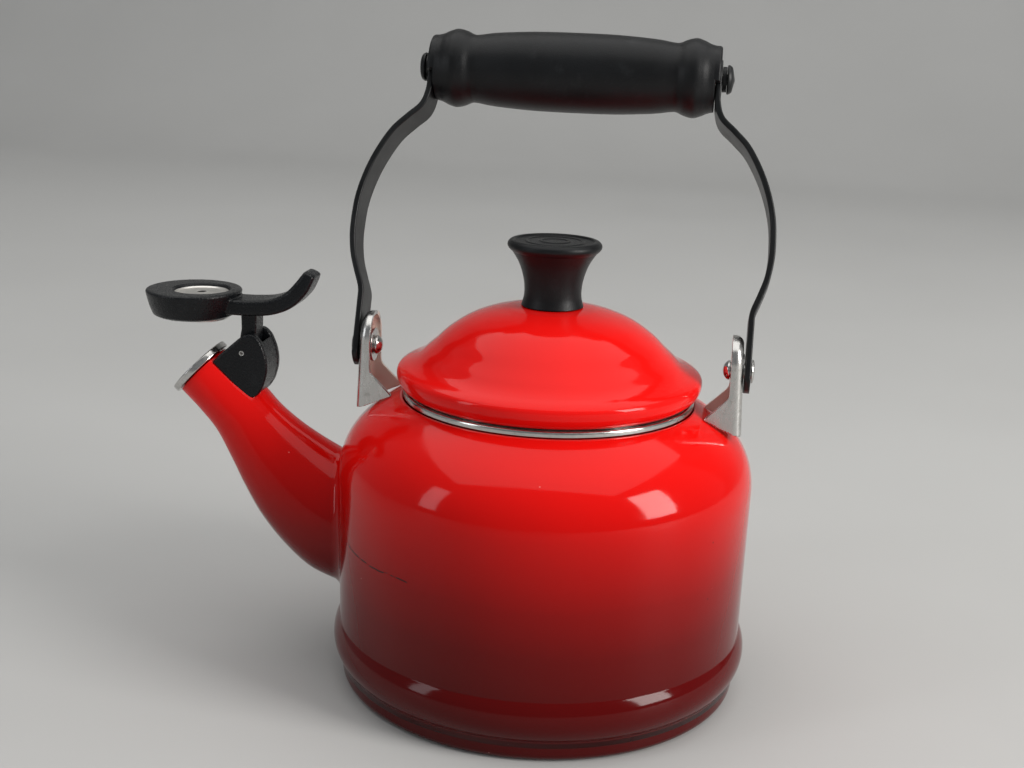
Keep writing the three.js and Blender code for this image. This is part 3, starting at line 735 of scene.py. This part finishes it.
def flared(skin, fillet):
    """The skin spread out where it nears the body, as a quarter-round fillet: at distance d
    from the body it moves sideways by f - sqrt(f^2 - (f - d)^2)."""
    clear = np.hypot(skin[..., 0], skin[..., 1]) - body_radius(skin[..., 2])
    near = fillet - np.clip(clear, 0, fillet)
    spread = fillet - np.sqrt(fillet**2 - near**2)
    centre = skin.mean(1, keepdims=True)
    away = skin - centre
    away /= np.linalg.norm(away, axis=-1, keepdims=True)
    moved = skin + away * spread[..., None]
    reach = np.hypot(moved[..., 0], moved[..., 1])
    wanted = np.where(near > 0, body_radius(moved[..., 2]) + np.maximum(clear, -0.4), reach)
    moved[..., :2] *= (wanted / reach)[..., None]
    return moved


def make_shell():
    """The shell: an outline turned about Z. Its inside runs beside its outside at the sheet's
    thickness, and the spout's bore is cut through it."""
    upper = body_line()
    outside = np.concatenate([lip_line(), upper])
    inside = beside(upper, SHEET)[::-1]
    neck = (outside[-1] + inside[0]) / 2 + [0, 0.1]
    outline = np.concatenate([outside, [neck], inside])
    shell = turned("kettle_body", outline, around=240, ring=True)
    bore = surface("bore", spout_skin(-SHEET, 60, 48)[5:], (False, True))
    carve(shell, bore)
    keep(shell, "body", "body_shell", enamel)


def make_base():
    """The base pan: an outline turned about Z, from the middle of the underside round the foot,
    up the stand inside the shell and back over the inside of the base."""
    upstand = WALL_RADIUS - SHEET - GAP
    upstand_inside = upstand - 1.4
    foot = WALL_RADIUS - 1.1
    outside = eased(
        [[0, 0], [66.9, 0], [foot, 1.9], [foot, SEAM_HEIGHT - 3.3],
         [upstand, SEAM_HEIGHT - 2.4], [upstand, UPSTAND_TOP]],
        [0, 1.4, 1.4, 0.3, 0.4, 0], 8)
    inside = eased(
        [[upstand, UPSTAND_TOP], [upstand_inside, UPSTAND_TOP], [upstand_inside, 7],
         [61.5, SHEET], [0, SHEET]], [0, 0.2, 3, 3, 0], 8)
    outline = np.concatenate([outside, inside])
    base = turned("kettle_base", outline, around=240)
    keep(base, "body", "base_pan", enamel)


def make_rim():
    """The bright band: a folded outline turned about Z, over the neck and down inside it."""
    low = SHELL_TOP + 0.05
    drop = box_mm("rim_band")[0][2]
    inner = MOUTH_RADIUS + 0.6
    outline = eased_ring(
        [[NECK_RADIUS, low], [NECK_RADIUS, RIM_HEIGHT], [MOUTH_RADIUS, RIM_HEIGHT],
         [MOUTH_RADIUS, drop], [inner, drop], [inner, low]], [0.45, 1.1, 0.9, 0.2, 0.2, 0.1], 10)
    rim = turned("mouth_rim", outline, around=200, ring=True)
    keep(rim, "body", "rim_band", bright)


def make_spout():
    """The spout: its outer and inner skins, joined to each other at the mouth and the root."""
    outer = flared(ended_on_body(spout_skin(0), 150, 0.15), SPOUT_FILLET)
    inner = ended_on_body(spout_skin(-SHEET), 60, SHEET)[::-1]
    skin = np.concatenate([outer[::-1], inner[::-1]])
    spout = surface("kettle_spout", skin.transpose(1, 0, 2), (True, True))
    keep(spout, "body", "spout", enamel)


def make_spout_lip():
    """The lip: a flange with a sleeve, one outline turned about the mouth's axis."""
    sleeve = SPOUT_MOUTH_RADIUS - SHEET - GAP
    sleeve_end = -LIP_DEPTH - SLEEVE_LENGTH
    bore = sleeve - 0.8
    lip = eased_ring(
        [[bore, 0], [LIP_RADIUS, 0], [LIP_RADIUS, -LIP_DEPTH], [sleeve, -LIP_DEPTH],
         [sleeve, sleeve_end], [bore, sleeve_end]],
        [0.7, 0.55, 0.5, 0.3, 0.2, 0.2])
    ring = turned("spout_lip", lip, out_of_mouth, ring=True)
    keep(ring, "body", "spout_mouth_ring", bright)


# ---- Brackets and rivets ----
def bracket_skin():
    """Outer skin of the right-hand bracket: u goes up one side, over the round top and down
    the other; v goes from the middle of the plate to its edge, round the bend and in along the
    turned rim, which widens into a gusset near the shoulder."""
    up, flat, bent, rim = 70, 7, 9, 24
    centre_z = BRACKET_TOP - BRACKET_HALF_WIDTH
    side = np.linspace(BRACKET_FOOT - 1, centre_z, up)
    turn = np.radians(np.linspace(0, 180, 41))[1:-1]
    away_y = np.concatenate([np.ones(up), np.cos(turn), -np.ones(up)])
    away_z = np.concatenate([np.zeros(up), np.sin(turn), np.zeros(up)])
    spine = np.concatenate([side, np.full(len(turn), centre_z), side[::-1]])
    angle = np.radians(np.linspace(0, 90, bent))
    before_bend = BRACKET_HALF_WIDTH - BRACKET_BEND
    reach = np.concatenate([np.linspace(0, before_bend, flat + 1)[:-1],
                            before_bend + BRACKET_BEND * np.sin(angle),
                            np.full(rim, BRACKET_HALF_WIDTH)])
    rim_height = spine + away_z * BRACKET_HALF_WIDTH
    rim_depth = np.interp(rim_height, [98.3, 104.7, 105.7, 107, BRACKET_TOP],
                          [11.2, 4.1, 3.4, 3.1, 2.4])
    share = np.linspace(0, 1, rim + 1)[1:]
    depth = np.zeros((len(spine), len(reach)))
    depth[:, flat:flat + bent] = BRACKET_BEND * (1 - np.cos(angle))
    depth[:, flat + bent:] = BRACKET_BEND + (rim_depth - BRACKET_BEND)[:, None] * share
    y = away_y[:, None] * reach
    z = spine[:, None] + away_z[:, None] * reach
    z = np.maximum(z, BRACKET_FOOT + 0.49 * depth)
    x = BRACKET_FACE - depth
    return leaned(np.stack([x, y, z], -1))


def leaned(points):
    """The bracket leans in a little towards its top, turning about its foot."""
    foot = np.array([BRACKET_FACE, 0, BRACKET_FOOT])
    return (points - foot) @ turn_about_y(-BRACKET_LEAN).T + foot


def make_bracket(side, twin):
    """A bracket: its outer skin, given the sheet's thickness inwards."""
    plate = surface(f"handle_bracket_{side}", twin(bracket_skin()))
    wall = plate.modifiers.new("sheet", "SOLIDIFY")
    wall.thickness = BRACKET_SHEET * MM
    wall.offset = -1
    even_normals(plate)
    keep(plate, "body", f"bracket_{side}", pressed)


def make_pivot(side, twin):
    """A rivet and its two washers: outlines turned about the handle's pivot axis."""

    def place(points):
        """From a piece turned about Z at the origin to one about the pivot axis."""
        return twin(along_x(points) + [0, 0, PIVOT_HEIGHT])

    plate_face = BRACKET_FACE - (PIVOT_HEIGHT - BRACKET_FOOT) * math.sin(BRACKET_LEAN)
    washer_sheet = 1
    washer_face = plate_face - BRACKET_SHEET - 2 * GAP
    head_face = washer_face - washer_sheet - GAP
    head_radius = 3.2
    tail_face = STRAP_AT_PIVOT + STRAP_SHEET + GAP
    rivet = turned(f"rivet_{side}", eased(
        [[0, head_face - 2.4], [1.9, head_face - 2.1], [head_radius, head_face - 0.8],
         [head_radius, head_face], [RIVET_RADIUS, head_face], [RIVET_RADIUS, tail_face],
         [4, tail_face], [3.7, tail_face + 0.6], [2.4, tail_face + 0.9], [0, tail_face + 1]],
        [0, 1.2, 0.9, 0.2, 0.1, 0.1, 0.2, 0.5, 1, 0]), place, 64)
    even_normals(rivet)
    keep(rivet, "body", f"pivot_rivet_{side}", bright)
    bore, rim = RIVET_RADIUS + 0.1, 5.7
    for name, low, high in (("washer", washer_face - washer_sheet, washer_face),
                            ("spring_washer", plate_face + 2 * GAP, STRAP_AT_PIVOT - GAP)):
        washer = turned(f"{name}_{side}", flat_ring(bore, rim, low, high), place, 64, ring=True)
        even_normals(washer)
        keep(washer, "body", f"pivot_{name}_{side}", pressed)


# ---- Handle ----
def strap_half_width(height):
    """The strap narrows gently towards the grip, and its ends are half circles."""
    width = np.interp(height, [-8, 104.8], [STRAP_HALF_WIDTH, STRAP_TOP_HALF_WIDTH])
    low = np.clip(0.6 - height, 0, STRAP_HALF_WIDTH)
    high = np.clip(height - GRIP_HEIGHT, 0, STRAP_TOP_HALF_WIDTH)
    below = np.sqrt(np.maximum(STRAP_HALF_WIDTH**2 - low**2, 0.01))
    above = np.sqrt(np.maximum(STRAP_TOP_HALF_WIDTH**2 - high**2, 0.01))
    return np.minimum(width, np.minimum(below, above))


def make_strap(side, twin):
    """A strap: a flat bar whose outer face follows a line from below the pivot, out round the
    hand's room and in to the grip's end."""
    face = spline(
        [[67, -7.4], [67, 4], [67, 14], [67.2, 18.5], [69.1, 24], [71, 30], [72.05, 37],
         [72.05, 44], [71.4, 51], [69.4, 59], [66.2, 67], [61.6, 75], [56.6, 80.3], [52.2, 84.6],
         [50.6, 89.5], [STRAP_UP_TO_GRIP, 95], [STRAP_UP_TO_GRIP, 105.2]], 260)
    centre = beside(face, STRAP_SHEET / 2)
    normal = face - centre
    normal /= np.linalg.norm(normal, axis=1, keepdims=True)
    width = strap_half_width(face[:, 1])
    thick = np.full(len(face), STRAP_SHEET / 2)
    strap = bar(f"strap_{side}", centre, normal, width, thick, 0.55,
                lambda points: on_handle(twin(points)))
    even_normals(strap)
    keep(strap, "handle", f"handle_strap_{side}", coated)


def on_grip(points):
    """From a piece turned about Z at the origin to one about the grip's axis."""
    return on_handle(along_x(points) + [0, 0, GRIP_HEIGHT])


def make_grip():
    """The grip: half an outline and its mirror image, turned about the grip's axis. A notch with
    a round top is cut in each end for the strap."""
    half = spline([[13.6, 0], [13.42, 14], [12.6, 27], [11.7, 33.5], [11.7, 35.6], [12.8, 38.2],
                   [13.4, 41.2], [12.7, 43.8], [11.7, 46], [11.2, 47.8]], 90)
    end = eased([half[-1], [11.1, GRIP_HALF_LENGTH], [0, GRIP_HALF_LENGTH]], [0, 1.0, 0])[1:]
    right = np.concatenate([half, end])
    outline = np.concatenate([(right * [1, -1])[:0:-1], right])
    grip = turned("grip_barrel", outline, on_grip, 120)
    low = STRAP_UP_TO_GRIP - STRAP_SHEET - 0.2
    beyond = 20
    slot = np.concatenate([
        [[-beyond, -beyond], [beyond, -beyond], [beyond, NOTCH_STEP], [NOTCH_RADIUS, NOTCH_STEP]],
        arc((0, 0), NOTCH_RADIUS, 0, 180, 24),
        [[-NOTCH_RADIUS, NOTCH_STEP], [-beyond, NOTCH_STEP]]])
    for sign in (1, -1):
        def notch(points, sign=sign):
            """Y becomes the grip's axis, X goes across it and Z stays up."""
            turned_up = np.stack([sign * points[..., 1], points[..., 0], points[..., 2]], -1)
            return on_handle(turned_up + [0, 0, GRIP_HEIGHT])

        carve(grip, slab("notch", slot, low, low + 12, 0.01, notch))
    even_normals(grip)
    keep(grip, "handle", "grip", black)


def make_tie_rod():
    """The rod through the grip, turned about the grip's axis."""
    rod = turned("tie_rod", round_bar(TIE_ROD_RADIUS, TIE_ROD_HALF_LENGTH, 0.3), on_grip, 32)
    keep(rod, "handle", "grip_tie_rod", bright)


def make_end_fixings():
    """A washer and a dome nut at each end of the rod, turned about the grip's axis."""
    for side, sign in (("right", 1), ("left", -1)):
        def fixing(points, sign=sign):
            """From a piece turned about Z at the origin to one at this end of the grip."""
            return on_handle(along_x(points) * [sign, sign, 1] + [0, 0, GRIP_HEIGHT])

        face = STRAP_UP_TO_GRIP + GAP
        nut = face + 1.4
        ring = flat_ring(2.1, 4.3, face - 0.2, face + 1.3)
        washer = turned(f"end_washer_{side}", ring, fixing, 64, ring=True)
        even_normals(washer)
        keep(washer, "handle", f"grip_washer_{side}", coated)
        crown = eased([[0, nut], [4.8, nut], [5, nut + 0.5], [4.3, nut + 1.7], [0, nut + 2.6]],
                      [0, 0.15, 0.3, 2.4, 0], 10)
        dome = turned(f"end_nut_{side}", crown, fixing, 64)
        even_normals(dome)
        keep(dome, "handle", f"grip_dome_nut_{side}", coated)


# ---- Lid ----
def make_lid():
    """The lid: brim, flare and dome in one line turned about Z, with a flat seat for the knob
    and a hole for its screw. The inside runs beside the outside."""
    outside = spline(
        [[48.4, 102.4], [50, 103.6], [51.1, 105.4], [51.5, 107.6], [51, 109.1], [49.4, 110.2],
         [46.6, 111.5], [44.2, 113], [41.6, 115.4], [38.8, 117.9], [34.9, 121.6], [28.7, 125.8],
         [22, 128.6], [15, 130.4]], 130)
    inside = beside(outside, SHEET)[::-1]
    top = KNOB_BASE - GAP
    middle = eased([outside[-1], [8, top + 0.02], [2.4, top], [2.4, top - SHEET],
                    [8, top - SHEET + 0.02], inside[0]], [0, 5, 0.1, 0.1, 4, 0])[1:-1]
    outline = np.concatenate([outside, middle, inside])
    shell = turned("lid_dome", outline, around=240, ring=True)
    keep(shell, "lid", "lid_shell", enamel)


def make_lid_skirt():
    """The skirt: a ring with a lip that turns out under the brim, turned about Z."""
    skirt_radius = MOUTH_RADIUS - 0.8
    skirt = eased_ring(
        [[skirt_radius, 95], [skirt_radius, 103.4], [47.2, 104.4], [46.6, 105.1],
         [skirt_radius - 1, 104.2], [skirt_radius - 1, 95]], [0.3, 0.8, 0.2, 0.2, 0.8, 0.3])
    ring = turned("lid_skirt_ring", skirt, around=200, ring=True)
    even_normals(ring)
    keep(ring, "lid", "lid_skirt", bright)


def make_knob():
    """The knob: a flared side, a rounded rim and a dished top with two low rings, turned about
    Z round a socket for the insert."""
    side = spline([[10.4, KNOB_BASE - 0.2], [9.6, 134.5], [9.7, 138.5], [10.6, 142.5], [12, 146],
                   [14.1, 149.3]], 60)
    crown = KNOB_TOP
    head = eased(
        [side[-1], [14.9, 149.95], [KNOB_RADIUS, 150.9], [KNOB_RADIUS, 152.1],
         [14.6, crown], [13.3, crown], [12.8, crown - 0.55], [10.2, crown - 0.5],
         [9.9, crown - 0.25], [9.0, crown - 0.25], [8.7, crown - 0.5], [5.4, crown - 0.45],
         [5.1, crown - 0.2], [4.3, crown - 0.2], [4.0, crown - 0.45], [0, crown - 0.4]],
        [0, 0.2, 0.7, 0.8, 0.7, 0.3, 0.3, 0.2, 0.15, 0.15, 0.2, 0.2, 0.15, 0.15, 0.2, 0])[1:]
    under = eased(
        [[0, KNOB_SOCKET_TOP], [KNOB_SOCKET_RADIUS, KNOB_SOCKET_TOP],
         [KNOB_SOCKET_RADIUS, KNOB_BASE - 0.2], side[0]], [0, 0.3, 0.3, 0])[:-1]
    knob = turned("lid_knob_flared", np.concatenate([under, side, head]), around=160)
    even_normals(knob)
    keep(knob, "lid", "lid_knob", black)


def make_knob_fixings():
    """The washer under the lid and the screw, whose head has a round socket, turned about Z."""
    low, high = UNDER_LID - GAP - 1, UNDER_LID - 0.05
    washer = turned("lid_washer", flat_ring(2.3, 6, low, high), around=64, ring=True)
    keep(washer, "lid", "knob_washer", bright)
    head_top = low - 0.05
    screw = eased(
        [[0, head_top - 1.5], [0.9, head_top - 1.5], [1.1, head_top - 2.65], [2.4, head_top - 2.65],
         [4, head_top - 1.2], [4, head_top], [2, head_top], [2, KNOB_SOCKET_TOP],
         [0, KNOB_SOCKET_TOP]],
        [0, 0.1, 0.2, 0.9, 0.6, 0.2, 0.2, 0.2, 0])
    bolt = turned("lid_screw", screw, around=64)
    keep(bolt, "lid", "knob_screw", bright)


# ---- Whistle and its housing ----
def z_to_y(points):
    """Z becomes Y: for pieces turned about the whistle's pivot axis."""
    return points[..., [0, 2, 1]]


def about_pin(points):
    """From a piece turned about Z at the origin to one about the whistle's pivot axis."""
    return z_to_y(points) + WHISTLE_PIVOT


def make_housing():
    """The clamp on the spout's neck: two cheeks, a rear wall and a saddle moulded into one, with
    a hole through the cheeks for the pin."""
    cheek = eased_ring(
        [[-3.6, 7.4], [-3.6, 11], [-4.4, 20.8], [-5, 23.8], [-7, 25.6], [-10.2, 25.6],
         [-14.6, 23.6], [-17.6, 21.4], [-19.9, 18.8], [-22.1, 14.6], [-22.8, 11], [-22.4, 9],
         [-20.6, 7.4]], [0.5, 2, 1.5, 1.2, 1.2, 1.5, 1.5, 1.5, 2, 1.5, 1, 0.8, 0.5])
    rear = eased_ring(
        [[-10.6, 22.4], [-13.6, 21.5], [-16.4, 19.1], [-18.4, 16.3], [-19.4, 11], [-22.4, 11],
         [-21.9, 14.6], [-19.7, 18.6], [-17.4, 21.2], [-14.4, 23.4], [-10.6, 25.2]], 0.4)
    saddle = eased_ring([[-3.9, 8.8], [-3.9, 12.4], [-22.4, 12.4], [-22.6, 11], [-21.6, 8.8]], 0.4)
    parts = [slab("cheek_front", cheek, -CHEEK_OUTSIDE, -CHEEK_INSIDE, 0.9, on_cheek),
             slab("cheek_back", cheek, CHEEK_INSIDE, CHEEK_OUTSIDE, 0.9, on_cheek),
             slab("housing_rear", rear, -6, 6, 0.3, on_cheek),
             slab("housing_saddle", saddle, -6, 6, 0.3, on_cheek)]
    housing = moulded("whistle_clamp", parts, 0.24, 4)
    hole = [[0, -9], [PIN_HOLE_RADIUS, -9], [PIN_HOLE_RADIUS, 9], [0, 9]]
    carve(housing, turned("pin_hole", hole, about_pin, 32))
    keep(housing, "body", "whistle_housing", sparkling)


def make_pivot_pin():
    """The pin: a hollow end and its mirror image, turned about the whistle's pivot axis."""
    end = CHEEK_OUTSIDE - 0.15
    side = eased(
        [[0, end - 1.5], [0.5, end - 1.4], [0.55, end], [0.95, end], [PIN_RADIUS, end - 0.5]],
        [0, 0.1, 0.15, 0.15, 0])
    pin = turned("pivot_pin", np.concatenate([side * [1, -1], side[::-1]]), about_pin, 32)
    keep(pin, "body", "whistle_pin", pressed)


def lever_bar():
    """The thumb lever: a bar whose centre line runs out of the ring and curls up, thinner and
    narrower towards a rounded tip."""
    centre = spline([[-12, 15.5], [-4, 15.5], [2.4, 15.6], [9.5, 16.3], [15.3, 18.5],
                     [19.4, 22.1], [22.2, 26.2], [23.4, 28.6]], 120)
    normal = beside(centre, 1) - centre
    along = np.linspace(0, 1, len(centre))
    thick = np.interp(along, [0, 0.55, 0.75, 1], [2.65, 2.75, 2.7, 1.9])
    width = np.interp(along, [0, 0.45, 0.7, 0.9, 1], [6.6, 6.5, 5.9, 5.0, 4.6])
    length, tip = 45, 2.6
    from_tip = np.clip((1 - along) * length / tip, 0, 1)
    close = np.sqrt(np.clip(1 - (1 - from_tip) ** 2, 0.0004, 1))
    width = width * (0.35 + 0.65 * close)
    return bar("lever", centre, normal, width, thick * close, 1.3, on_whistle)


def in_bore(points):
    """From a piece turned about Z at the origin to one about the axis of the holder's bore."""
    return on_whistle(points + [RING_BORE_CENTRE, 0, 0])


def make_whistle():
    """The whistle's moulding: a round holder, lever, arm and hub made one, with a stepped bore
    for the discs."""
    ring_side = spline([[14.2, RING_BOTTOM + 1.0], [15.2, 14.4], [16.0, 17.4], [16.4, 19.2]], 16)
    outline = np.concatenate([
        eased([[0, RING_BOTTOM], [12.4, RING_BOTTOM], ring_side[0]], [0, 1.4, 0])[:-1], ring_side,
        eased([ring_side[-1], [16.5, RING_TOP - 0.5], [15.9, RING_TOP], [0, RING_TOP]],
              [0, 0.5, 0.5, 0])[1:]])
    ring = turned("ring", outline, lambda points: on_whistle(points + [RING_CENTRE, 0, 0]), 96)
    side = [[-2.8, -1], [3.4, -1], [4.2, 8], [4.4, 14.5], [-1.2, 14.5], [-1.1, 8]]
    arm = slab("arm", eased_ring(side, 0.6), -HUB_HALF_WIDTH, HUB_HALF_WIDTH, 0.7, on_whistle)
    hub = turned("hub", round_bar(HUB_RADIUS, HUB_HALF_WIDTH, 0.6),
                 lambda points: on_whistle(z_to_y(points)), 48)
    whistle = moulded("whistle_moulding", [ring, lever_bar(), arm, hub], 0.25, 3)
    bore = eased([[0, RING_BOTTOM - 3], [RING_BORE, RING_BOTTOM - 3], [RING_BORE, RING_TOP - 0.7],
                  [RING_BORE + 0.9, RING_TOP + 0.1], [RING_BORE + 0.9, RING_TOP + 2],
                  [0, RING_TOP + 2]], [0, 0.1, 0.6, 0.1, 0.1, 0])
    carve(whistle, turned("bore", bore, in_bore, 120))
    keep(whistle, "whistle", "whistle_lever", sparkling)


def make_whistle_discs():
    """The two pierced discs and the ring between them, turned about the bore's axis."""
    fit = RING_BORE - 0.05
    face = eased_ring(
        [[1.3, 18.6], [fit, 18.3], [fit, 19.5], [fit - 0.6, 19.5], [fit - 0.9, 19.1], [1.6, 19.4],
         [1.3, 19.2]], [0.2, 0.1, 0.3, 0.3, 0.3, 0.2, 0.1])
    back = eased_ring(
        [[1.3, 10.3], [fit, 10.3], [fit, 12.1], [fit - 0.8, 12.1], [fit - 0.8, 11.1], [1.3, 11.1]],
        [0.2, 0.5, 0.2, 0.2, 0.3, 0.2])
    spacer = [[fit - 1, 12.2], [fit, 12.2], [fit, 18.2], [fit - 1, 18.2]]
    for name, outline, node in (("whistle_face", face, "whistle_outer_disc"),
                                ("whistle_back", back, "whistle_inner_disc"),
                                ("whistle_spacer", spacer, "whistle_spacer_ring")):
        disc = turned(name, outline, in_bore, 96, ring=True)
        even_normals(disc)
        keep(disc, "whistle", node, spun)


make_shell()
make_base()
make_rim()
make_spout()
make_spout_lip()
for hand, mirrored in (("right", lambda points: points), ("left", half_round)):
    make_bracket(hand, mirrored)
    make_pivot(hand, mirrored)
    make_strap(hand, mirrored)
make_grip()
make_tie_rod()
make_end_fixings()
make_lid()
make_lid_skirt()
make_knob()
make_knob_fixings()
make_housing()
make_pivot_pin()
make_whistle()
make_whistle_discs()
for node, finish in (("knob_insert", brass), ("housing_screw", bright),
                     ("whistle_leaf_spring", bright)):
    dress(frame["nodes"][node], finish)


# ---- Room ----
def make_floor():
    """A pale floor that turns up behind the kettle: a flat sheet carried along a path that runs
    back, round a quarter circle and up."""
    front, back, bend, wall_top, half_width, level = -2500, 1500, 700, 3500, 3500, -0.05
    path = np.concatenate([[[front, level], [0, level]],
                           arc((back, bend + level), bend, -90, 0, 24), [[back + bend, wall_top]]])
    across = np.linspace(-half_width, half_width, 9)
    grid = np.stack([across + 0 * path[:, :1], path[:, :1] + 0 * across,
                     path[:, 1:] + 0 * across], -1)
    floor = surface("floor", grid)
    paint = Finish("pale_floor", {"Specular IOR Level": 0.2})
    cloud = paint.noise(3.5, 5, 0.55)
    paint.feed("Base Color", paint.blend(cloud, (0.47, 0.47, 0.46), (0.53, 0.53, 0.52)))
    paint.feed("Roughness", paint.step(cloud, 0.3, 0.7, 0.50, 0.62))
    dress(floor, paint.material)


def softbox(name, place, aim, size, power, colour=(1, 1, 1)):
    """A rectangular light at a place, in metres, that faces a point."""
    light = bpy.data.lights.new(name, "AREA")
    light.shape = "RECTANGLE"
    light.size, light.size_y = size
    light.energy = power
    light.color = colour
    lamp = bpy.data.objects.new(name, light)
    lamp.location = place
    lamp.rotation_mode = "QUATERNION"
    lamp.rotation_quaternion = (Vector(aim) - Vector(place)).to_track_quat("-Z", "Y")
    bpy.context.scene.collection.objects.link(lamp)


def make_light():
    """A dim even room, a soft window to the right, a wide ceiling light and a faint left fill."""
    world = bpy.data.worlds.new("room")
    world.use_nodes = True
    backdrop = world.node_tree.nodes["Background"]
    backdrop.inputs["Color"].default_value = (0.90, 0.92, 0.95, 1)
    backdrop.inputs["Strength"].default_value = 0.26
    bpy.context.scene.world = world
    middle = (0, 0, 0.10)
    softbox("window_right", (1.30, -0.45, 0.65), middle, (0.5, 0.9), 20, (1, 0.98, 0.95))
    softbox("ceiling", (0.0, 0.1, 1.9), middle, (3.0, 2.4), 30, (1, 0.99, 0.97))
    softbox("left_wall", (-1.3, -0.9, 0.6), middle, (0.3, 0.9), 3, (0.93, 0.96, 1))


def make_camera():
    """A lens a little above the kettle, in front and to the right, turned slightly about its
    line of sight."""
    lens = bpy.data.cameras.new("view")
    lens.lens = 49.22
    lens.sensor_width = 36
    lens.clip_start = 0.01
    camera = bpy.data.objects.new("view", lens)
    camera.location = (0.0540, -0.4560, 0.2262)
    look = Vector((-0.1396, 0.9559, -0.2585)).to_track_quat("-Z", "Y")
    tilt = Quaternion((0, 0, 1), math.radians(2.15))
    camera.rotation_mode = "QUATERNION"
    camera.rotation_quaternion = look @ tilt
    bpy.context.scene.collection.objects.link(camera)
    bpy.context.scene.camera = camera


make_floor()
make_light()
make_camera()
bpy.context.scene.view_settings.view_transform = "Standard"
